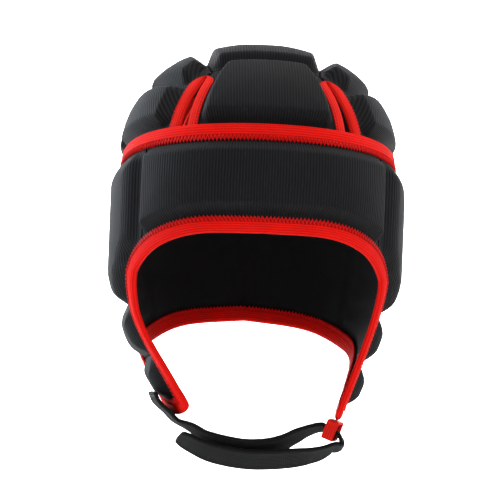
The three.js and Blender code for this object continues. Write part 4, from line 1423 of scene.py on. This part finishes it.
@dataclass
class ChinStrap:
    """The soft strap from the right flap, through the left flap's keeper and back on itself."""

    wardrobe: Wardrobe
    width: float = 25.0
    thickness: float = 2.4
    half_span: float = 56.0
    drop: float = 248.0
    forward: float = 31.0
    lean: float = 33.0
    keeper_tape: float = 7.5
    keeper_thickness: float = 1.6
    ease: float = 1.5
    slot: float = 9.5
    round: float = 2.4
    inner_round: float = 0.8
    keeper_gap: float = 0.6
    tip_round: float = 7.0
    step: float = 0.9
    dense_points: int = 4000
    line_blur: int = 2
    width_blur: int = 3
    keeper_points: int = 96
    sewn_narrowing: float = 0.06
    sewn_length: float = 8.0
    box_start: int = 3
    box_end: int = 14
    box_inset: float = 3.0
    stitch_pitch: float = 2.4
    stitch_radius: float = 0.3
    stitch_above: float = 0.1
    right: FlapFrame = field(default_factory=lambda: FlapFrame(
        Half.RIGHT, 5.0, BAND_FOAM.inner + CLOTH + STRAP_GAP + TAPE_THICKNESS + TAPE_THICKNESS))
    left: FlapFrame = field(default_factory=lambda: FlapFrame(Half.LEFT, 8.0, BAND_FOAM.inner + 1.0))
    sewn: tuple[FlapRow, ...] = (FlapRow(-19, 6.4), FlapRow(-12.5, 6.2), FlapRow(-3, 1),
                                 FlapRow(2.8, -1.6))
    inner: tuple[StrapRow, ...] = (
        StrapRow(-0.62, 0.4, 1.0, 0.5), StrapRow(-0.47, 0.62, 1.0, 0.85),
        StrapRow(-0.25, 0.78, 1.0, 1.0), StrapRow(0.0, 0.84, 1.0, 1.0), StrapRow(0.29, 0.75, 1.0, 1.0),
        StrapRow(0.52, 0.5, 0.95, 0.85), StrapRow(0.68, 0.34, 0.92, 0.6),
    )
    fold: tuple[FlapRow, ...] = (FlapRow(-4, -5.5, 0.3), FlapRow(-3.8, -1, 0.2), FlapRow(-3.8, 4, 0.2),
                                 FlapRow(-1, 8, 0.25), FlapRow(3.5, 8.6, 0.25))
    outer: tuple[StrapRow, ...] = (
        StrapRow(0.96, 0.72, 1.0, 0.55), StrapRow(0.78, 0.9, 1.0, 0.8), StrapRow(0.46, 1.03, 1.0, 1.0),
        StrapRow(0.0, 1.09, 1.0, 1.0), StrapRow(-0.42, 0.95, 1.0, 1.0), StrapRow(-0.66, 0.74, 1.0, 0.9),
        StrapRow(-0.81, 0.56, 1.0, 0.85),
    )

    def free(self, row: StrapRow) -> tuple[np.ndarray, np.ndarray]:
        """Return a point between the flaps and its width's direction."""
        angle = math.radians(self.lean * row.lean)
        z = -lerp(CUT.flap, self.drop, row.drop)
        point = np.array([row.side * self.half_span, -self.forward * row.ahead, z])
        return point, np.array([0.0, -math.cos(angle), math.sin(angle)])

    def folded(self, row: FlapRow) -> tuple[np.ndarray, np.ndarray]:
        """Return a point at the keeper's lower bar and its width's direction."""
        bar = self.keeper_gap + self.keeper_thickness + self.slot
        angle = math.radians(self.lean * row.lean)
        return (self.left.at(0, bar + row.low, row.high),
                self.left.across * math.cos(angle) - self.left.down * math.sin(angle))

    def rows(self) -> tuple[np.ndarray, np.ndarray]:
        """Return the middle line's rows and the directions of its width."""
        half = self.thickness / 2
        rows = [(self.right.at(0, row.low, row.high + half), self.right.across) for row in self.sewn]
        rows += [self.free(row) for row in self.inner]
        rows += [self.folded(row) for row in self.fold]
        rows += [self.free(row) for row in self.outer]
        return np.array([row[0] for row in rows]), np.array([row[1] for row in rows])

    def centre_line(self) -> tuple[np.ndarray, np.ndarray, np.ndarray, np.ndarray]:
        """Return points, width directions, face directions and run lengths along the strap."""
        points, widths = self.rows()
        dense = np.linspace(0, len(points) - 1, self.dense_points)
        line = spline(points, dense)
        run = run_length(line)
        at = np.interp(np.arange(0, run[-1], self.step), run, dense)
        line = spline(points, at)
        i = np.clip(at.astype(int), 0, len(points) - 2)
        w = smooth_step(at - i)[:, None]
        wide = widths[i] * (1 - w) + widths[i + 1] * w
        line, wide = blur(line, self.line_blur, False), blur(wide, self.width_blur, False)
        tangent = unit(np.gradient(line, axis=0))
        wide = unit(wide - tangent * (wide * tangent).sum(-1, keepdims=True))
        return line, wide, np.cross(tangent, wide), np.arange(len(line)) * self.step

    def build_strap(self) -> None:
        """Make the strap with rounded selvedges and a rounded free tip."""
        line, wide, face, along = self.centre_line()
        half, thick = self.width / 2, self.thickness / 2
        edge = thick / half
        # The upper half of the section, as shares of half the width and half the thickness.
        section = [(1.0, 0.0), (1 - edge * 0.3, 0.75), (1 - edge, 1.0), (0.82, 1.12), (0.72, 0.98),
                   (0.4, 1.0), (0.0, 1.02), (-0.4, 1.0), (-0.72, 0.98), (-0.82, 1.12), (-1 + edge, 1.0),
                   (-1 + edge * 0.3, 0.75)]
        section += [(-x, -y) for x, y in section]
        left = along[-1] - along
        tip = self.tip_round
        narrow = 1 - (tip - np.sqrt(tip ** 2 - (tip - np.minimum(left, tip)) ** 2)) / half
        narrow *= 1 - self.sewn_narrowing * smooth_step(1 - along / self.sewn_length)
        rings, lay = [], []
        for x, y in section:
            rings.append(line + wide * (x * half * narrow)[:, None] + face * (y * thick))
            lay.append(np.stack([along, np.full(len(line), x * half)], axis=-1))
        shell = Shell()
        first = shell.add(np.stack(rings, axis=1), np.stack(lay, axis=1))
        count = len(section)
        shell.quads(grid_quads(first, len(line), count, loop_columns=True))
        for base in (first, first + (len(line) - 1) * count):
            # Faces across the end from one selvedge to the other. The last corner at each stays open.
            pairs = [(base + k, base + count - k) for k in range(1, count // 2)]
            shell.quads(np.array([(*near, *far[::-1]) for near, far in zip(pairs, pairs[1:])]))
        shell.build("chin_strap_webbing", [self.wardrobe.webbing], Slot.STRAP, ["chin_strap"],
                    crease=60.0)
        self.sew_down(line, wide, face)

    def sew_down(self, line: np.ndarray, wide: np.ndarray, face: np.ndarray) -> None:
        """Sew the strap's end to the flap with a box of stitches."""
        shell = Shell()
        half = self.width / 2 - self.box_inset
        lift = self.thickness / 2 + self.stitch_above
        outward = face if face[4] @ self.right.out > 0 else -face
        near, far = self.box_start, self.box_end
        rows = ((near, far, -1, -1), (near, far, 1, 1), (near, near, -1, 1), (far, far, -1, 1),
                (near, far, -1, 1), (near, far, 1, -1))
        for start, end, x_a, x_b in rows:
            a = line[start] + wide[start] * half * x_a + outward[start] * lift
            b = line[end] + wide[end] * half * x_b + outward[end] * lift
            count = max(3, int(np.linalg.norm(b - a) / self.stitch_pitch))
            for k in range(count):
                ends = [lerp(a, b, (k + share) / count) for share in (0.1, 0.9)]
                TapeMaker.stitch(shell, *ends, outward[start], self.stitch_radius)
        shell.build("strap_box_stitch", [self.wardrobe.black_thread], Slot.STRAP)

    def build_keeper(self) -> None:
        """Make the keeper ring of folded tape on the left flap's tip."""
        keeper = self.left
        half_slot = self.width / 2 + self.ease
        middle = self.keeper_gap + self.keeper_thickness + self.slot / 2
        count = self.keeper_points

        def oblong(half_width: float, half_height: float, radius: float) -> np.ndarray:
            """Return points round a rounded oblong."""
            angle = (np.arange(count) + 0.5) / count * math.tau
            c, s = np.cos(angle), np.sin(angle)
            return np.stack([np.sign(c) * (half_width - radius) + radius * c,
                             np.sign(s) * (half_height - radius) + radius * s], axis=-1)

        inside = oblong(half_slot, self.slot / 2, self.inner_round)
        outside = oblong(half_slot + self.keeper_thickness, self.slot / 2 + self.keeper_thickness,
                         self.round)
        # The ring's section, as shares of its thickness and of the tape's width.
        section = [(0.12, 0.02), (0.0, 0.1), (0.0, 0.5), (0.0, 0.9), (0.12, 0.98), (0.5, 1.0),
                   (0.88, 0.98), (1.0, 0.9), (1.0, 0.7), (1.0, 0.5), (1.0, 0.3), (1.0, 0.1),
                   (0.88, 0.02), (0.5, 0.0)]
        rings, lay = [], []
        run = run_length(outside)
        for share, high in section:
            flat = inside + (outside - inside) * share
            rings.append(keeper.seat + keeper.across * flat[:, :1] + keeper.down * (middle + flat[:, 1:])
                         + keeper.out * ((high - 0.5) * self.keeper_tape))
            lay.append(np.stack([run, np.full(count, high * self.keeper_tape)], axis=-1))
        shell = Shell()
        first = shell.add(np.stack(rings, axis=1), np.stack(lay, axis=1))
        shell.quads(grid_quads(first, count, len(section), loop_rows=True, loop_columns=True))
        shell.build("strap_keeper_tape", [self.wardrobe.vent_tape], Slot.TAPE, ["strap_keeper"])

    def build(self) -> None:
        """Make the keeper and the strap."""
        self.build_keeper()
        self.build_strap()


VIEW_CENTRE = (-0.0026, 0.0, -0.1195)
BACKDROP_CENTRE = (0.0, 3.4, -0.3)


@dataclass(frozen=True)
class Lamp:
    """A soft square light: place, size and power, colour, aim and spread in degrees."""

    name: str
    place: tuple[float, float, float]
    size: float
    power: float
    colour: tuple[float, float, float] = (1, 1, 1)
    aim: tuple[float, float, float] = VIEW_CENTRE
    spread: float = 180.0

    def hang(self) -> None:
        """Add the light to the scene."""
        data = bpy.data.lights.new(self.name, "AREA")
        data.size, data.energy, data.color = self.size, self.power, self.colour
        data.spread = math.radians(self.spread)
        lamp = bpy.data.objects.new(self.name, data)
        bpy.context.collection.objects.link(lamp)
        lamp.location = self.place
        way = Vector(self.aim) - Vector(self.place)
        lamp.rotation_euler = way.to_track_quat("-Z", "Y").to_euler()


@dataclass
class Studio:
    """The camera, the lights and the pale floor."""

    wardrobe: Wardrobe
    distance: float = 1.3
    yaw: float = -3.0
    roll: float = 2.3
    sensor: float = 36.0
    view_width: float = 0.32
    floor: float = -0.5
    half_side: float = 5.0
    front: float = -3.5
    back: float = 2.2
    sweep: float = 0.8
    top: float = 3.5
    ambient: float = 0.5
    lamps: tuple[Lamp, ...] = (
        Lamp("key", (0.6, -1.5, 1.2), 0.9, 24.0),
        Lamp("left_rim", (-1.2, 0.5, 0.3), 0.9, 30.0, (0.82, 0.91, 1.0)),
        Lamp("right_rim", (1.4, 0.5, 0.5), 0.9, 14.0),
        Lamp("top", (0.0, 0.2, 1.4), 1.0, 16.0),
        Lamp("backdrop_left", (-1.6, 1.0, 0.6), 1.2, 60.0, aim=BACKDROP_CENTRE, spread=100.0),
        Lamp("backdrop_right", (1.6, 1.0, 0.6), 1.2, 60.0, aim=BACKDROP_CENTRE, spread=100.0),
    )

    def camera(self) -> None:
        """Place the camera level in front of the cap."""
        data = bpy.data.cameras.new("camera")
        data.sensor_width = self.sensor
        data.lens = self.sensor * self.distance / self.view_width
        camera = bpy.data.objects.new("camera", data)
        bpy.context.collection.objects.link(camera)
        angle = math.radians(self.yaw)
        target = Vector(VIEW_CENTRE)
        place = target + Vector((math.sin(angle), -math.cos(angle), 0)) * self.distance
        aim = (target - place).to_track_quat("-Z", "Y").to_matrix().to_4x4()
        tilt = Matrix.Rotation(math.radians(self.roll), 4, "Z")
        camera.matrix_world = Matrix.Translation(place) @ aim @ tilt
        bpy.context.scene.camera = camera

    def backdrop(self) -> None:
        """Lay the floor and curve it up far behind the cap."""
        back, sweep = self.back, self.sweep
        steps = [(self.front, self.floor), (back, self.floor)]
        steps += [(back + sweep * math.sin(a), self.floor + sweep - sweep * math.cos(a))
                  for a in np.linspace(0.15, math.pi / 2, 10)]
        steps += [(back + sweep, self.top)]
        points = np.array([[(x, y, z) for x in (-self.half_side, self.half_side)] for y, z in steps])
        mesh = bpy.data.meshes.new("floor")
        mesh.from_pydata([tuple(p) for p in points.reshape(-1, 3)], [],
                         [tuple(q) for q in grid_quads(0, len(steps), 2).reshape(-1, 4)])
        mesh.materials.append(self.wardrobe.paper)
        for polygon in mesh.polygons:
            polygon.use_smooth = True
        floor = bpy.data.objects.new("floor", mesh)
        bpy.context.collection.objects.link(floor)

    def build(self) -> None:
        """Set the whole studio up."""
        scene = bpy.context.scene
        scene.view_settings.view_transform = "Standard"
        world = bpy.data.worlds.new("studio")
        world.use_nodes = True
        light = world.node_tree.nodes["Background"].inputs
        light["Color"].default_value = (1, 1, 1, 1)
        light["Strength"].default_value = self.ambient
        scene.world = world
        self.camera()
        self.backdrop()
        for lamp in self.lamps:
            lamp.hang()


def main() -> None:
    """Build the cap and the studio."""
    logging.basicConfig(level=logging.INFO, format="%(message)s")
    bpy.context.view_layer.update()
    wardrobe = Wardrobe()
    maker = PadMaker(wardrobe)
    crown = Crown(maker)
    crown.build()
    Band(maker).build()
    Bindings(TapeMaker(wardrobe), crown).build()
    ChinStrap(wardrobe).build()
    Studio(wardrobe).build()


if __name__ == "__main__":
    main()
